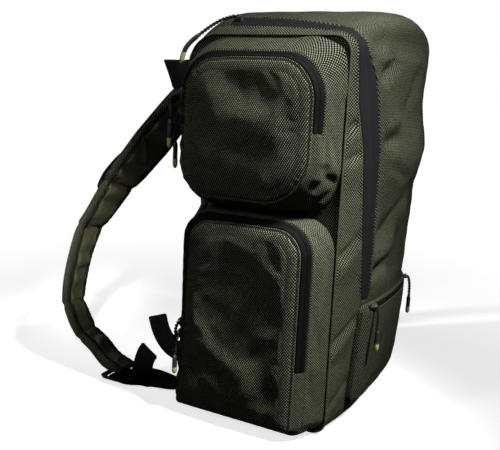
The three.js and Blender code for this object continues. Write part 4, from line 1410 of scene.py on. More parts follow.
@dataclass
class SidePocket:
    """A bellows pocket on the side panel: gusset, zip on the bevel, and a crowned face with folds.

    Each row of the section is a share of the depth and an inset. Bells lie off the zip's edges.
    """

    name: str
    outline: Outline
    depth: float
    flare: float
    zip_end: float
    lean: float
    slant: float
    seed: int
    folds: tuple[Fold, ...]
    gusset_folds: tuple[Fold, ...]
    foot: Row
    pulls: tuple[PullRow, ...]
    pillow: float = 8.0
    sway: float = 1.1
    face_weave: tuple[Pair, ...] = ((1.03, 0.0), (-0.15, 1.02))
    gusset_weave: float = 1.3
    peak: float = 0.3
    run: ClothRun = ClothRun(2.6, 0.012, 14.0, 12.0, 3.0)
    mesh: float = 4.5
    wall: float = 2.0
    step: float = 2.8
    zip_out: Pair = (0.6, 0.82)
    zip_inset: Pair = (1.0, 10.0)
    back_bevel: float = 6.0
    bevel_start: Pair = (2.5, 3.5)
    bevel_end: Pair = (4.62, 5.0)
    foot_places: Row = (0, 1, 1.25, 1.5, 1.75, 2, 3, 3.5, 4, 5, 5.5, 6, 7, 7.25, 7.5, 8)
    section: tuple[Pair, ...] = (
        (0.0, 0.0), (0.2, -0.6), (0.42, -0.8), (0.6, 1.0), (0.82, 10.0), (0.91, 15.5), (0.955, 23.0),
        (0.965, 28.0))
    per_span: int = 9
    zip_span: int = 3
    map_row: int = 20
    rings: int = 37
    recess: float = 2.4
    recess_edge: float = 1.4
    low_seam: Bell = Bell(0.9, -2.0, 1.5)
    high_seam: Bell = Bell(2.0, 2.2, 1.5)
    high_groove: Bell = Bell(-0.9, 5.6, 1.6)
    low_pucker: Bell = Bell(0.315, -7.0, 6.0)
    high_pucker: Bell = Bell(0.45, 9.0, 5.0)
    pucker_waves: Pair = (15.0, 67.0)
    slack: Bell = Bell(1.6, -6.0, 9.0)
    slack_wave: float = 26.0
    slack_fade: Pair = (-20.0, 10.0)
    front_slack: float = 0.4
    sag: float = 0.9
    sag_wave: float = 48.0
    sink: Pair = (0.6, 0.8)
    sewn_on: float = 8.0
    broad_wave: float = 85.0
    fine_wave: float = 36.0
    fine_share: float = 0.4
    seat_sunk: float = -0.34
    pull_clear: float = 2.0

    def point(self, u: Array, out: Array, inset: Array) -> Array:
        """The outline at an inset and a distance out, leaning forwards and flared at the low back.

        Args:
            u: Places round the outline.
            out: Distances out from the panel.
            inset: Distances inwards.

        Returns:
            Points, with a last axis of 3.
        """
        a, b, _, _ = self.outline.at(u, inset)
        low = 1.0 - (b - self.outline.bottom) / (self.outline.top - self.outline.bottom)
        behind = (a - self.outline.front) / (self.outline.back - self.outline.front)
        forward = self.lean - self.slant * (1.0 - behind)
        y = a + self.flare * low * behind - forward * (out / self.depth)
        return joined(-BODY.half_width - GAP - out, y, b)

    def zip_surface(self, u: Array, share: Array, sunk: Array) -> Array:
        """A point of the pocket's zip, a share of the way up its bevel."""
        inset = lerp(*self.zip_inset, share) + self.flatter(u) * share
        return self.point(u, self.depth * lerp(*self.zip_out, share) - sunk, inset + sunk)

    def flatter(self, u: Array) -> Array:
        """How much wider the bevel is along the back edge, where the zip lies flatter."""
        return self.back_bevel * smooth(u, *self.bevel_start) * (1.0 - smooth(u, *self.bevel_end))

    def band(self) -> ZipBand:
        """The pocket's zip, as wide as its bevel, up the front edge, over the top and down the back edge."""
        width = float(np.hypot(self.depth * np.ptp(self.zip_out), np.ptp(self.zip_inset)))
        return ZipBand(self.zip_surface, self.outline.front_place(self.zip_end),
                       self.outline.back_place(self.zip_end), width, pitch=1.8, step=0.6, across=13)

    def gusset(self, u: Array) -> tuple[Array, Array, Array]:
        """Rows from where the pocket is sewn on, up the gusset and bevel to the edge of the face.

        The section is a smooth curve through its table. The cloth steps down under the zip, stands up in a
        rolled seam on each side of it, puckers beside the seams and creases at the front.

        Args:
            u: Places round the outline.

        Returns:
            Points, and the lengths up and round the rows.
        """
        out, inset, arc = profile(self.section, self.depth, self.per_span)
        low, high = arc[self.zip_span * self.per_span], arc[(self.zip_span + 1) * self.per_span]
        band = self.band()
        along, whole = band.length_at(u)
        off = np.abs(arc - (low + high) / 2.0) * band.width / (high - low)
        under = band.inside(along, whole, off[:, None], self.recess_edge)
        ramp = np.clip(1.0 - out / (self.zip_out[0] * self.depth), 0.0, 1.0)[:, None]
        bevel = np.clip((arc - low) / (high - low), 0.0, 1.0)[:, None]
        inset = inset[:, None] - ramp * np.interp(u, self.foot_places, self.foot) + bevel * self.flatter(u)
        base = self.point(u, out[:, None], inset)
        around = loop_length(base[self.map_row])
        s = around[:-1]
        seam = self.low_seam.at(arc - low) + self.high_seam.at(arc - high) + self.high_groove.at(arc - high)
        short, long = self.pucker_waves
        pucker = (self.high_pucker.at(arc - high) + self.low_pucker.at(arc - low))[:, None] * (
            np.cos(TAU * s / short + 2.0 * np.cos(TAU * s / long)))
        facing = self.outline.at(u)[2]
        zipped = smooth(along, *self.slack_fade) * smooth(whole - along, *self.slack_fade)
        loose = np.where(u > 4.5, 1.0, self.front_slack) * smooth(np.abs(facing), 0.5, 0.95) * (1.0 - zipped)
        slack = self.slack.at(arc - low)[:, None] * loose * np.cos(TAU * s / self.slack_wave + 1.0)
        sag = Ripple(self.sag, self.sag_wave, self.seed).at(s, arc[:, None])
        sag = sag * bump(arc, low * 0.5, low * 0.3)[:, None]
        crease = smooth(-facing, 0.3, 0.8) * dents(self.gusset_folds, out[:, None], base[..., 2])
        sunk = self.recess * under - seam[:, None] + pucker + slack + sag + crease
        sunk = sunk * smooth(out, 0.0, self.sewn_on)[:, None]
        back, inward = self.sink
        return self.point(u, np.maximum(out[:, None] - back * sunk, 0.0), inset + inward * sunk), arc, around

    def cloth(self) -> Piece:
        """The gusset's rows, and rings from its last row in to the middle of the face.

        Folds and ripples dent the face, which a cloth run swells.

        Returns:
            The piece.
        """
        u = self.outline.places(self.step)
        rows, arc, around = self.gusset(u)
        share = np.linspace(1.0, 0.0, self.rings + 1)[1:, None]
        line, (rim, edge) = self.outline, self.section[-1]
        middle = (line.front + line.back) / 2
        centre = np.array([0.0, middle, lerp(line.bottom, line.top, 0.5 + self.peak / 2)])
        face = centre + share[..., None] * (rows[-1] - centre)
        flat_a, flat_b, _, _ = line.at(u, edge)
        swollen = self.swell(lerp(centre[1], flat_a, share), lerp(centre[2], flat_b, share), edge)
        crown = rim * self.depth + np.where(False, self.pillow * (1.0 - share ** 2), swollen)
        y, z = face[..., 1], face[..., 2]
        dent = (dents(self.folds, y, z) + Ripple(self.sway, self.broad_wave, self.seed + 1).at(y, z)
                + Ripple(self.sway * self.fine_share, self.fine_wave, self.seed + 2).at(y, z))
        face[..., 0] = dent * (1.0 - share ** 6) - BODY.half_width - GAP - crown
        split = (self.zip_span + 1) * self.per_span + 2
        face = np.concatenate([rows[split:], face])
        side_uv = joined(arc[:split + 1, None], around * self.gusset_weave)
        face_uv = wrap(face)[..., 1:] @ np.array(self.face_weave)
        return new_mesh(f"{self.name}_pocket_cloth", [
            Patch(rows[:split + 1], side_uv, True), Patch(face, face_uv, True)],
            (-BODY.half_width, 0.0, centre[2]), self.wall)

    def limits(self, z: Array, inset: float) -> tuple[Array, Array]:
        """Where the face's outline starts and ends at a height, with round corners taken off.

        Args:
            z: Heights.
            inset: Distance inside the pocket's outline.

        Returns:
            The two ends across the face.
        """
        line = self.outline
        gaps = line.top - inset - z, z - line.bottom - inset
        front, back = (
            sum(r - np.sqrt(r ** 2 - np.clip(r - gap, 0.0, r) ** 2)
                for r, gap in zip(np.maximum(np.array(radii) - inset, 1.0), gaps))
            for radii in ((line.front_top, line.front_bottom), (line.back_top, line.back_bottom)))
        return line.front + inset + front, line.back - inset - back

    def swell(self, y: Array, z: Array, inset: float) -> Array:
        """How far the padded face stands out, from a cloth run of a flat panel sewn down all round.

        The panel is a grid of rows across the face. The result is read off that grid by blending its four
        nearest points.

        Args:
            y: Places across the flat face.
            z: Heights.
            inset: How far the panel's edge is inside the outline.

        Returns:
            Distances outwards.
        """
        line = self.outline
        low, high = line.bottom + inset, line.top - inset
        wide, tall = line.back - line.front - 2 * inset, high - low
        columns, rows = int(wide / self.mesh), int(tall / self.mesh)
        level = np.linspace(low, high, rows)[:, None]
        first, last = self.limits(level, inset)
        grid = joined(0.0, lerp(first, last, np.linspace(1.0, 0.0, columns)), level)
        held = np.ones((rows, columns))
        held[1:-1, 1:-1] = 0.0
        out = -self.run.settle(grid, False, held)[..., 0]
        first, last = self.limits(z, inset)
        a = (1.0 - np.clip((y - first) / np.maximum(last - first, 1.0), 0.0, 1.0)) * (columns - 1)
        b = np.clip((z - low) / tall, 0.0, 1.0) * (rows - 1)
        i, j = np.minimum(a.astype(int), columns - 2), np.minimum(b.astype(int), rows - 2)
        lower, upper = (lerp(out[k, i], out[k, i + 1], a - i) for k in (j, j + 1))
        return lerp(lower, upper, b - j)

    def build(self, finish: Finishes) -> None:
        """Makes and dresses the pocket, its zip, sliders and pulls.

        Args:
            finish: The finishes.
        """
        place_piece(self.cloth(), [finish.cloth], [f"{self.name}_pocket"])
        band = new_mesh(f"{self.name}_zip_band", self.band().patches())
        place_piece(band, [finish.pocket_tape], [f"{self.name}_zip"])
        for row in self.pulls:
            place = self.outline.back_place(row.z)
            seat = Seat.on(self.zip_surface, place, 0.02, self.seat_sunk, (0.0, 1.0, 0.0))
            x, y, z = seat.at + seat.out * (PLAIN_SLIDER.height + self.pull_clear)
            away, swung = x - row.stand, y + row.swing
            route = ((x, y, z), (x - row.stand / 2, swung, z - row.drop * 0.12),
                     (away, swung, z - row.drop * 0.5), (away, swung, z - row.drop))
            fit_slider(self.name, row.suffix, PLAIN_SLIDER, seat, route, finish)


UPPER = SidePocket(
    name="upper", outline=Outline(-117, 122, 343, 567, 66, 63, 64, 85), depth=56.0, flare=0.0, zip_end=457.0,
    lean=2.0, slant=11.0, seed=41,
    folds=(Fold(-8, 507, 20, 45, 26, 6), Fold(-20, 425, 5, 60, 26, 4), Fold(-38, 376, 80, 18, 10, -3),
           Fold(0, 372, 80, 20, 14, 4), Fold(40, 470, 120, 40, 16, 2.5), Fold(-70, 480, 70, 36, 12, 2.0),
           Fold(60, 395, 150, 34, 14, 3.0)),
    gusset_folds=(Fold(12, 392, 20, 13, 7, 6), Fold(27, 425, 85, 32, 5, 3), Fold(38, 430, 85, 40, 5, -2),
                  Fold(16, 440, 70, 30, 6, 2.5), Fold(20, 500, 80, 34, 6, 1.6), Fold(8, 370, 120, 20, 6, 3)),
    foot=(11, 11, 19, 35, 29, 19.5, 19.5, 17.5, 7, 7, 6, 5, 4, 9, 22, 11),
    pulls=(PullRow("_a", 503, 84, 14, 2), PullRow("_b", 474, 84, 3, 2)))
LOWER = SidePocket(
    name="lower", outline=Outline(-117, 103, 7, 331, 50, 44, 16, 22), depth=60.0, flare=15.0, zip_end=113.0,
    lean=3.0, slant=16.0, seed=51,
    folds=(Fold(-6, 200, 94, 105, 46, 10), Fold(78, 205, 92, 95, 22, -1.5), Fold(-84, 238, 92, 55, 14, -2),
           Fold(-68, 170, -38, 36, 10, -4.5), Fold(-48, 92, 97, 48, 22, 5), Fold(10, 45, 70, 30, 16, 4),
           Fold(60, 70, 60, 40, 18, 3)),
    gusset_folds=(Fold(20, 300, 70, 26, 7, 3), Fold(10, 240, 95, 40, 7, 2.5), Fold(24, 170, 80, 44, 6, 2.2),
                  Fold(28, 85, 80, 30, 6, 3), Fold(12, 60, 110, 26, 7, 2.5)),
    foot=(11, 11, 11, 10, 7, 5, 5, 5, 6, 5, 3, 0, 0, 2, 5, 11),
    pulls=(PullRow("_a", 150, 82, 4, 2), PullRow("_b", 131, 64, -2, 10)),
    run=ClothRun(0.5, 0.012, 14.0, 12.0, 3.0), pillow=4.0, sway=0.5, face_weave=((0.94, 0.07), (0.0, 1.08)))


@dataclass(frozen=True)
class FrontPullRow:
    """One slider of the front pocket: its place and height, and how far its pull stands, leans and drops."""

    suffix: str
    u: float
    lift: float
    clear: float
    lean: float
    drop: float


@dataclass
class FrontPocket:
    """A shallow pocket low on the front, with its zip along the top edge."""

    outline: Outline = Outline(-122, 150, 30, 197, 12, 12, 18, 18)
    depth: float = 15.0
    far_share: float = 0.5
    behind: float = -100.0
    clear: float = 0.8
    wall: float = 2.0
    step: float = 3.2
    zip_ends: Pair = (2.002, 2.998)
    zip_width: float = 8.0
    zip_out: Pair = (0.55, 0.8)
    zip_inset: Pair = (2.0, 9.0)
    section: tuple[Pair, ...] = (
        (0.0, 0.0), (0.3, 0.3), (0.55, 2.0), (0.8, 9.0), (0.95, 16.0), (1.0, 24.0))
    per_span: int = 8
    zip_span: int = 2
    map_row: int = 12
    rings: int = 33
    recess: float = 2.0
    low_seam: Bell = Bell(0.6, -1.5, 1.2)
    high_seam: Bell = Bell(0.8, 2.0, 1.6)
    sink: float = 0.4
    sewn_on: float = 5.0
    crown: float = 1.5
    folds: tuple[Fold, ...] = (
        Fold(-40, 120, 40, 40, 11, 2.0), Fold(30, 95, 100, 45, 14, 2.0), Fold(-80, 70, 20, 26, 8, 1.6),
        Fold(90, 130, 70, 40, 12, 1.8))
    sway: Ripple = Ripple(0.8, 60.0, 31)
    pulls: tuple[FrontPullRow, ...] = (
        FrontPullRow("_a", 2.9, 0.8, 2.6, 3.0, 70.0), FrontPullRow("_b", 2.05, 0.7, 3.2, -2.0, 72.0))

    def point(self, u: Array, out: Array, inset: Array) -> Array:
        """The outline at an inset, laid on the body's front and moved out from it."""
        a, b, _, _ = self.outline.at(u, inset)
        return joined(a, BODY.front_y(a, b) - self.clear - out * self.shallow(a), b)

    def shallow(self, x: Array) -> Array:
        """Share of the depth left at a place across the bag, falling towards the far side."""
        return lerp(1.0, self.far_share, (x - self.outline.front) / (self.outline.back - self.outline.front))

    def zip_surface(self, u: Array, share: Array, sunk: Array) -> Array:
        """A point of the zip, a share of the way across its tape."""
        out = self.depth * lerp(*self.zip_out, share)
        return self.point(u, out - sunk, lerp(*self.zip_inset, share) + sunk)

    def band(self) -> ZipBand:
        """The zip along the top edge."""
        return ZipBand(self.zip_surface, *self.zip_ends, self.zip_width, pitch=1.8, step=0.7, across=11)

    def cloth(self) -> Piece:
        """Rows from where the pocket is sewn on to its rolled edge, and rings in to the middle of the face.

        The face follows the body's front and is dented by folds and ripples.

        Returns:
            The piece.
        """
        u = self.outline.places(self.step)
        out, inset, arc = profile(self.section, self.depth, self.per_span)
        low, high = arc[self.zip_span * self.per_span], arc[(self.zip_span + 1) * self.per_span]
        band = self.band()
        under = band.inside(*band.length_at(u), np.abs(arc - (low + high) / 2)[:, None])
        sunk = self.recess * under - (self.high_seam.at(arc - high) + self.low_seam.at(arc - low))[:, None]
        height = np.maximum(out[:, None] - sunk * smooth(out, 0.0, self.sewn_on)[:, None], 0.0)
        rows = self.point(u, height, inset[:, None] + self.sink * sunk)
        share = np.linspace(1.0, 0.0, self.rings + 1)[1:, None]
        line = self.outline
        centre = np.array([(line.front + line.back) / 2, 0.0, (line.top + line.bottom) / 2])
        face = centre + share[..., None] * (rows[-1] - centre)
        x, z = face[..., 0], face[..., 2]
        dent = dents(self.folds, x, z) + self.sway.at(x, z) - self.crown
        face[..., 1] = (BODY.front_y(x, z) - self.clear - self.depth * self.shallow(x)
                        + dent * (1.0 - share ** 4))
        split = (self.zip_span + 1) * self.per_span + 2
        face = np.concatenate([rows[split:], face])
        side_uv = joined(arc[:split + 1, None], loop_length(rows[self.map_row]))
        return new_mesh("front_pocket_cloth", [
            Patch(rows[:split + 1], side_uv, True), Patch(face, wrap(face)[..., ::2], True)],
            (centre[0], self.behind, centre[2]), self.wall)

    def build(self, finish: Finishes) -> None:
        """Makes and dresses the pocket, its zip, sliders and pulls.

        Args:
            finish: The finishes.
        """
        place_piece(self.cloth(), [finish.cloth], ["front_pocket"])
        band = new_mesh("front_zip_band", self.band().patches())
        place_piece(band, [finish.pocket_tape], ["front_zip"])
        for row in self.pulls:
            seat = Seat.on(self.zip_surface, row.u, 0.04, 0.5, (0.0, -1.0, 0.0)).lifted(row.lift)
            x, y, z = seat.at + seat.out * (PLAIN_SLIDER.height + row.clear)
            leant = x + row.lean
            route = ((x, y, z), (x + row.lean / 2, y - 3.0, z - row.drop * 0.17),
                     (leant, y - 4.0, z - row.drop * 0.5), (leant, y - 4.0, z - row.drop))
            fit_slider("front", row.suffix, PLAIN_SLIDER, seat, route, finish)


# Carrying gear

@dataclass(frozen=True)
class LadderLock:
    """A ladder lock: a flattened ring round a rounded rectangle, a ribbed bar across it and a lip."""

    line: Outline = Outline(-23.5, 23.5, -20.0, 20.0, 8, 8, 8, 8)
    step: float = 2.0
    sides: int = 16
    rail: float = 3.4
    end_rail: float = 4.9
    thick: float = 2.5
    squareness: float = 0.7
    map_size: Pair = (140.0, 18.0)
    bar_half: float = 22.0
    bar_steps: int = 61
    bar: float = 2.35
    bar_flat: float = 0.9
    rib: float = 0.18
    rib_pitch: float = 3.0
    rib_end: float = 20.0
    lip: float = 1.9
    lip_half: float = 22.2
    lip_place: Pair = (23.0, 1.2)

    def build(self, name: str, at: Sequence[float]) -> Piece:
        """Carries a rounded square section round the ring, and tubes along the bar and the lip.

        Args:
            name: Name of the piece.
            at: Where its middle is.

        Returns:
            The piece.
        """
        u = self.line.places(self.step)
        a, b, na, nb = self.line.at(u)
        angle = (np.arange(self.sides + 1) % self.sides * TAU / self.sides)[:, None]
        across, rise = (np.sign(part) * np.abs(part) ** self.squareness
                        for part in (np.cos(angle), np.sin(angle)))
        wide = across * np.where(np.abs(na) > 0.5, self.rail, self.end_rail)
        around, over = self.map_size
        uv = joined(np.linspace(0.0, around, len(u) + 1), np.linspace(0.0, over, self.sides + 1)[:, None])
        ring = Patch(joined(a + wide * na, b + wide * nb, rise * self.thick), uv)
        x = np.linspace(-self.bar_half, self.bar_half, self.bar_steps)
        middle, lip = joined(x, 0.0, 0.0), joined(x, *self.lip_place)
        ribs = self.rib * np.cos(TAU * x / self.rib_pitch) * smooth(self.rib_end - np.abs(x), 0.0, 3.0)
        side = np.broadcast_to([0.0, 1.0, 0.0], middle.shape)
        up = np.broadcast_to([0.0, 0.0, self.bar_flat], middle.shape)
        rounded = np.sqrt(np.clip(1.02 - (x / self.lip_half) ** 6, 0.05, 1.0))
        bar = tube(middle, side, up, self.bar + ribs, 14)
        parts = ring, bar, tube(lip, side, up, self.lip * rounded, 12)
        return new_mesh(name, [Patch(part.points + np.array(at), part.uv, True) for part in parts])


@dataclass
class Harness:
    """One side's shoulder strap, keeper, ladder lock and webbings.

    Rows of the strap are x, y, z, width and roll in degrees. Rows of the free end are x, y, z and twist.
    The slack of the lower webbing is shares along and aside, a height and a tilt in degrees.
    """

    side: Side
    strap: tuple[tuple[float, float, float, float, float], ...]
    lock: Point
    anchor: Point
    free_end: tuple[tuple[float, float, float, float], ...]
    slack: tuple[float, float, float, float]
    seed: int
    thick: float = 18.0
    pad_points: int = 33
    edge_power: float = 9.0
    pinches: Row = (300.0, 394.0, 541.0, 606.0)
    pinch_width: float = 4.5
    pinch_slant: float = 5.0
    pinch_in: float = 2.4
    puff_width: float = 26.0
    puff_out: float = 0.7
    bow: float = 5.5
    seam: Bell = Bell(1.6, 11.0, 2.2)
    soft_edge: Pair = (5.0, 16.0)
    wave: float = 60.0
    cross_waves: Pair = (46.0, 170.0)
    edge_ripple: Bell = Bell(1.0, 5.0, 3.0)
    edge_wave: float = 13.0
    top_end: Bell = Bell(0.35, 0.0, 8.0)
    lock_end: Bell = Bell(0.45, 0.0, 14.0)
    end_held: float = 12.0
    seam_held: Pair = (10.0, 15.0)
    run: ClothRun = ClothRun(2.0, 0.05, 6.0, 10.0, 0.2)
    keeper_width: float = 58.0
    keeper_span: Pair = (0.394, 0.477)
    keeper_stand: float = 7.5
    keeper_steps: int = 31
    web_thick: float = 2.0
    web_curl: float = 0.35
    web_wave: float = 57.0
    lower_width: float = 38.0
    lower_hem: float = 14.0
    waist_width: float = 36.0
    waist_hem: float = 12.0
    waist: tuple[Point, ...] = (
        (-163, 135.3, 70), (-163.5, 146, 70), (-165, 165, 78), (-167, 181, 101), (-168, 190, 127))
    lock_route: tuple[Pair, ...] = (
        (-29, -5), (-5, -4.7), (2.5, -4.5), (7, -1.5), (7, 1.5), (2.5, 4.5), (-5, 4.7), (-16, 5))

    def suffix(self) -> str:
        """The side's name."""
        return self.side.name.lower()

    def strap_track(self, per_span: int) -> Track:
        """Frames along the middle of the strap's pad."""
        table = np.array(self.strap)
        return Track.through(table, per_span, np.array([1.0, 0.0, 0.0]), curve(table, per_span)[2][:, 1])

    def kink(self, length: Array) -> Array:
        """How far the strap lies inside its arc, where it runs straighter from pinch to pinch: parabolas."""
        share = np.interp(length, self.pinches, np.arange(len(self.pinches))) % 1.0
        return self.bow * 4.0 * share * (1.0 - share)

    def pad(self) -> Piece:
        """The pad: a cover round its outer face and edges, and a satin lining towards the wearer.

        The half thickness falls off close to the edges by a ninth power. The lining is drawn in along a seam
        inside each edge and pinched at the bends, and a cloth run lets it swell and wrinkle in between.

        Returns:
            The piece.
        """
        track = self.strap_track(16)
        half = track.extra[:, :1] / 2.0
        length = track.length()[:, None]
        left = length[-1, 0] - length
        run = np.sin(np.linspace(-QUARTER, QUARTER, self.pad_points))
        a = np.concatenate([run, run[::-1][1:-1]])
        face = np.concatenate([np.ones(self.pad_points), -np.ones(self.pad_points - 2)])
        outer = np.sign(np.median(track.face[:, 1])) * face
        lining = outer < 0
        from_edge = (1.0 - np.abs(a)) * half
        wave = Ripple(1.0, self.wave, self.seed).at(a * half, length)
        short, long = self.cross_waves
        cross = np.cos(TAU * length / short + 1.6 * np.cos(TAU * length / long) + 0.9 * a)
        pinch = sum(bump(length + self.pinch_slant * a, place, self.pinch_width) for place in self.pinches)
        puff = 1.0 - sum(bump(length, place, self.puff_width) for place in self.pinches)
        wrinkle = np.where(lining, 1.9 * wave + 1.7 * cross + 1.2 * puff - 3.8 * pinch, 0.6 * wave)
        rippled = self.edge_ripple.at(from_edge) * np.cos(TAU * length / self.edge_wave)
        b = self.thick / 2.0 * (1.0 - np.abs(a) ** self.edge_power) ** 0.5
        b = b - np.where(lining, self.seam.at(from_edge), 0.0) + smooth(from_edge, *self.soft_edge) * wrinkle
        b = b - np.where(lining, 1.4, 1.0) * pinch + np.where(lining, 0.6, 0.2) * rippled
        close = 1.0 - self.lock_end.at(left) - self.top_end.at(length)
        wide = a * (half - self.pinch_in * pinch + self.puff_out * puff)
        loops = track.place(wide, face * b * close - outer * face * self.kink(length))
        ends = np.maximum(bump(length, 0.0, self.end_held), bump(left, 0.0, self.end_held))
        held = np.maximum(np.where(lining, 1.0 - smooth(from_edge, *self.seam_held), 1.0), ends)
        loops = self.run.settle(loops, True, held)
        lined = lining & (from_edge > self.seam.centre)
        cells = (lined & np.roll(lined, -1, axis=1))[:-1].astype(int)
        return new_mesh(f"strap_pad_{self.suffix()}", [loop_patch(loops, length[:, 0], cells)])

    def keeper(self) -> Piece:
        """A webbing tab that arches off the strap's outer face: a half sine wave between two sewn ends.

        Returns:
            The piece.
        """
        frames = self.strap_track(10)
        count = self.keeper_steps
        share = np.linspace(0.0, 1.0, count)
        pick = lerp(*self.keeper_span, share) * (len(frames.at) - 1)
        order = np.arange(len(frames.at))
        at, along, side, face = (np.stack([np.interp(pick, order, column) for column in part.T], axis=-1)
                                 for part in (frames.at, frames.along, frames.side, frames.face))
        arch = self.keeper_stand * np.sin(np.pi * share) ** 0.45
        lift = (self.thick + self.web_thick) / 2 + 2 * GAP + arch
        lift = lift - self.kink(np.interp(pick, order, frames.length()))
        at = at + lift[:, None] * np.sign(face[:, 1:2]) * face
        track = Track(at, unit(along), unit(side), unit(face), np.zeros((count, 0)))
        a, b = stadium(self.keeper_width / 2, self.web_thick / 2, 13)
        return new_mesh(f"keeper_web_{self.suffix()}", [loop_patch(track.place(a, b), track.length())])

    def webbing(self, name: str, stations: Array, width: float, across: Array, hem: float) -> Piece:
        """A flat webbing along a route, thicker over its turned-back end and a little curled across.

        Args:
            name: Name of the piece.
            stations: Points of the route.
            width: Its width.
            across: The way its width lies.
            hem: Length of the turned-back end.

        Returns:
            The piece.
        """
        track = Track.through(stations, 14, across)
        length = track.length()
        left = length[-1] - length
        thick = self.web_thick / 2 * (1.0 + 0.8 * smooth(hem - left, -1.0, 1.0))
        a, b = stadium(width / 2 * (1.0 - 0.1 * bump(left, 0.0, 1.2)), thick, 13)
        along = np.cos(TAU * length / self.web_wave)[:, None]
        curl = self.web_curl * np.cos(TAU * a / width) * along
        return new_mesh(f"{name}_{self.suffix()}", [loop_patch(track.place(a, b + curl), length)])

    def lower_web(self) -> Piece:
        """The webbing from the bag's lower corner, round the lock's bar and out to its free end.

        Returns:
            The piece.
        """
        x, y, z = self.lock
        ax, ay, az = self.anchor
        along, aside, height, tilt = self.slack
        stations = np.array([
            (ax, ay, az, 0.0, 0.0), (lerp(ax, x, 0.06), ay + 10.0, az - 2.0, 0.0, 0.0),
            (lerp(ax, x, aside), lerp(ay, y, along), height, 0.0, tilt),
            *((x, y + dy, z + dz, 0.0, 0.0) for dy, dz in self.lock_route),
            *((*row, 0.0) for row in self.free_end)])
        twist, lean = curve(stations, 14)[2].T
        lean = np.radians(lean)
        across = joined((1.0 - twist) * np.cos(lean), -twist, np.sin(lean))
        return self.webbing("lower_web", stations, self.lower_width, across, self.lower_hem)

    def waist_web(self) -> Piece:
        """The short webbing end at the lower back edge, mirrored for the right side."""
        route = np.array(self.waist) * np.array([-float(self.side.value), 1.0, 1.0])
        return self.webbing("waist_web", route, self.waist_width, np.array([0.0, 0.0, 1.0]), self.waist_hem)

    def build(self, finish: Finishes) -> None:
        """Makes and dresses the strap and everything on it.

        Args:
            finish: The finishes.
        """
        end = self.suffix()
        pad = place_piece(self.pad(), [finish.cloth, finish.lining], [f"strap_{end}"])
        place_piece(self.keeper(), [finish.webbing], [f"strap_keeper_{end}"])
        lock = LadderLock().build(f"lock_{end}", self.lock)
        place_piece(lock, [finish.lock], [f"ladder_lock_{end}"])
        place_piece(self.lower_web(), [finish.webbing], [f"lower_webbing_{end}"])
        place_piece(self.waist_web(), [finish.webbing], [f"waist_webbing_{end}"])


LEFT = Harness(
    side=Side.LEFT, lock=(-187, 254, 11), anchor=(-160, 131.6, 12), slack=(0.55, 0.6, 14.0, 35.0), seed=61,
    strap=((-72, 152.7, 574, 72, 0), (-72, 152.7, 546, 72, 0), (-74, 162, 526, 72, 6),
           (-80, 193, 496, 73, 18), (-99, 256, 413, 73, 32), (-111, 296, 360, 70, 27),
           (-130, 341, 297, 63, 12), (-153, 377, 206, 55, 0), (-167, 379, 129, 50, 0),
           (-176, 356, 83, 48, 0), (-183, 303, 54, 46, 0), (-186, 271, 33, 46, 0), (-187, 238, 26.6, 46, 0)),
    free_end=((-188.5, 214, 18, 0), (-190, 204, 24, 0.35), (-193, 199, 36, 0.8), (-195, 196, 50, 1),
              (-195, 191, 64, 1), (-194, 185, 74, 1)))
RIGHT = Harness(
    side=Side.RIGHT, lock=(148, 190, 11), anchor=(158, 135.3, 12), slack=(0.4, 0.5, 7.0, 0.0), seed=71,
    strap=((72, 152.7, 574, 72, 0), (72, 152.7, 546, 72, 0), (74, 161, 526, 72, 0), (80, 187, 491, 72, 0),
           (95, 232, 410, 71, 0), (110, 259, 325, 67, 0), (122, 268, 240, 60, 0), (133, 262, 155, 53, 0),
           (140, 251, 100, 49, 0), (145, 230, 58, 46, 0), (147, 207, 33, 46, 0), (148, 174, 27, 46, 0)),
    free_end=((146, 152, 22, 0), (143, 146, 36, 0), (139, 144, 60, 0), (134, 144, 88, 0)))


@dataclass
class HaulHandle:
    """A wide webbing handle from one side of the back panel to the other.

    Rows of its left half are x, y, z and lean in degrees.
    """

    width: float = 46.0
    thick: float = 3.0
    curl: float = 0.5
    wave: float = 90.0
    half: tuple[tuple[float, float, float, float], ...] = (
        (-136, 139.5, 532, 0), (-137, 152, 532, 4), (-138, 180, 529, 22), (-126, 203, 530, 26),
        (-100, 222, 533, 22), (-50, 230, 535, 20))

    def build(self, finish: Finishes) -> None:
        """A flat section along the route, slanting outwards by its lean, with soft rolled edges.

        Args:
            finish: The finishes.
        """
        left = np.array(self.half, float)
        table = np.concatenate([left, left[::-1] * np.array([-1.0, 1.0, 1.0, 1.0])])
        lean = np.radians(curve(table, 12)[2][:, 0])
        track = Track.through(table, 12, joined(0.0, np.sin(lean), np.cos(lean)))
        length = track.length()
        a, b = stadium(self.width / 2, self.thick / 2, 17)
        curl = self.curl * np.cos(np.pi * a / self.width) * np.cos(TAU * length / self.wave)[:, None]
        piece = new_mesh("handle_web", [loop_patch(track.place(a, b + curl), length)])
        place_piece(piece, [finish.webbing], ["haul_handle"])


# Studio

@dataclass(frozen=True)
class Spot:
    """A round light with a soft-edged beam, placed in metres, with its whole angle in degrees."""

    name: str
    at: Point
    aim: Point
    radius: float
    watts: float
    beam: float

    def build(self) -> None:
        """Adds the light, facing what it is aimed at."""
        lamp = bpy.data.lights.new(self.name, "SPOT")
        lamp.energy = self.watts
        lamp.shadow_soft_size = self.radius
        lamp.spot_size = np.radians(self.beam)
        lamp.spot_blend = 1.0
        thing = bpy.data.objects.new(self.name, lamp)
        thing.location = self.at
        thing.rotation_euler = (Vector(self.aim) - Vector(self.at)).to_track_quat("-Z", "Y").to_euler()
        bpy.context.scene.collection.objects.link(thing)


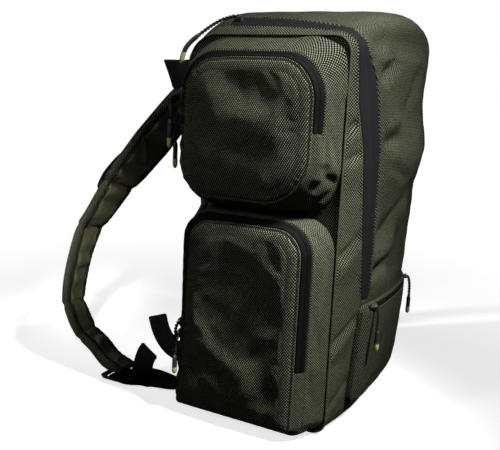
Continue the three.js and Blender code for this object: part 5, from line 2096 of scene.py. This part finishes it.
@dataclass
class Studio:
    """Floor, soft lights and the camera."""

    eye: Point = (-1097.68, -470.95, 516.85)
    azimuth: float = -62.21
    pitch: float = 11.3
    roll: float = -2.65
    lens: float = 50.0
    sensor: float = 36.0
    sight: float = 60.0
    floor_half: float = 20000.0
    floor_sunk: float = 0.4
    surround: float = 0.05
    spots: tuple[Spot, ...] = (
        Spot("key", (-0.29, -1.45, 2.5), (-0.24, -0.12, 0.46), 0.22, 1400.0, 16.5),
        Spot("fill", (-1.9, 1.1, 1.9), (-0.2, 0.05, 0.57), 0.4, 190.0, 15.0),
        Spot("rim", (-1.6, 1.9, 0.9), (-0.14, 0.43, 0.22), 0.1, 260.0, 11.5),
        Spot("kicker", (-1.5, -0.6, 1.2), (-0.13, 0.4, 0.2), 0.05, 130.0, 8.5))

    def camera(self) -> None:
        """A camera at the photograph's viewing angle, leaning with it."""
        a, e, r = np.radians([self.azimuth, self.pitch, self.roll])
        ahead = np.array([-np.sin(a) * np.cos(e), np.cos(a) * np.cos(e), -np.sin(e)])
        right = np.array([np.cos(a), np.sin(a), 0.0])
        up = np.cross(right, ahead)
        turned = np.cos(r) * right - np.sin(r) * up, np.sin(r) * right + np.cos(r) * up
        columns = np.stack([*turned, -ahead], axis=1)
        lens = bpy.data.cameras.new("camera")
        lens.lens = self.lens
        lens.sensor_width = self.sensor
        lens.sensor_fit = "HORIZONTAL"
        lens.clip_end = self.sight
        view = bpy.data.objects.new("camera", lens)
        view.matrix_world = Matrix.Translation(Vector(self.eye) * MM) @ Matrix(columns.tolist()).to_4x4()
        bpy.context.scene.collection.objects.link(view)
        bpy.context.scene.camera = view

    def floor(self) -> None:
        """A wide flat floor under the bag."""
        reach = np.linspace(-self.floor_half, self.floor_half, 9)
        points = joined(reach, reach[:, None], -self.floor_sunk)
        piece = new_mesh("floor", [Patch(points, points[..., :2])], (0.0, 0.0, -1000.0))
        piece.data.materials.append(PlainFloor().make())
        piece.visible_diffuse = False
        piece.visible_glossy = False

    def world(self) -> None:
        """White surroundings, dimmer as light than as a backdrop."""
        world = bpy.data.worlds.new("surround")
        bpy.context.scene.world = world
        world.use_nodes = True
        tree = world.node_tree
        tree.nodes.clear()
        path, strength, back, end = (tree.nodes.new("ShaderNode" + kind) for kind in (
            "LightPath", "MapRange", "Background", "OutputWorld"))
        strength.inputs["To Min"].default_value = self.surround
        strength.inputs["To Max"].default_value = 1.0
        back.inputs["Color"].default_value = (1.0, 1.0, 1.0, 1.0)
        tree.links.new(path.outputs["Is Camera Ray"], strength.inputs["Value"])
        tree.links.new(strength.outputs[0], back.inputs["Strength"])
        tree.links.new(back.outputs[0], end.inputs["Surface"])

    def build(self) -> None:
        """Sets up the studio."""
        self.camera()
        self.floor()
        self.world()
        bpy.context.scene.view_settings.view_transform = "Standard"
        for spot in self.spots:
            spot.build()


def main() -> None:
    """Builds the studio and every piece in order."""
    logging.basicConfig(level=logging.INFO, format="%(message)s")
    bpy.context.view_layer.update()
    Studio().build()
    finish = Finishes()
    for part in (Body(), MainSlider(), UPPER, LOWER, FrontPocket(), LEFT, RIGHT, HaulHandle()):
        part.build(finish)


if __name__ == "__main__":
    main()
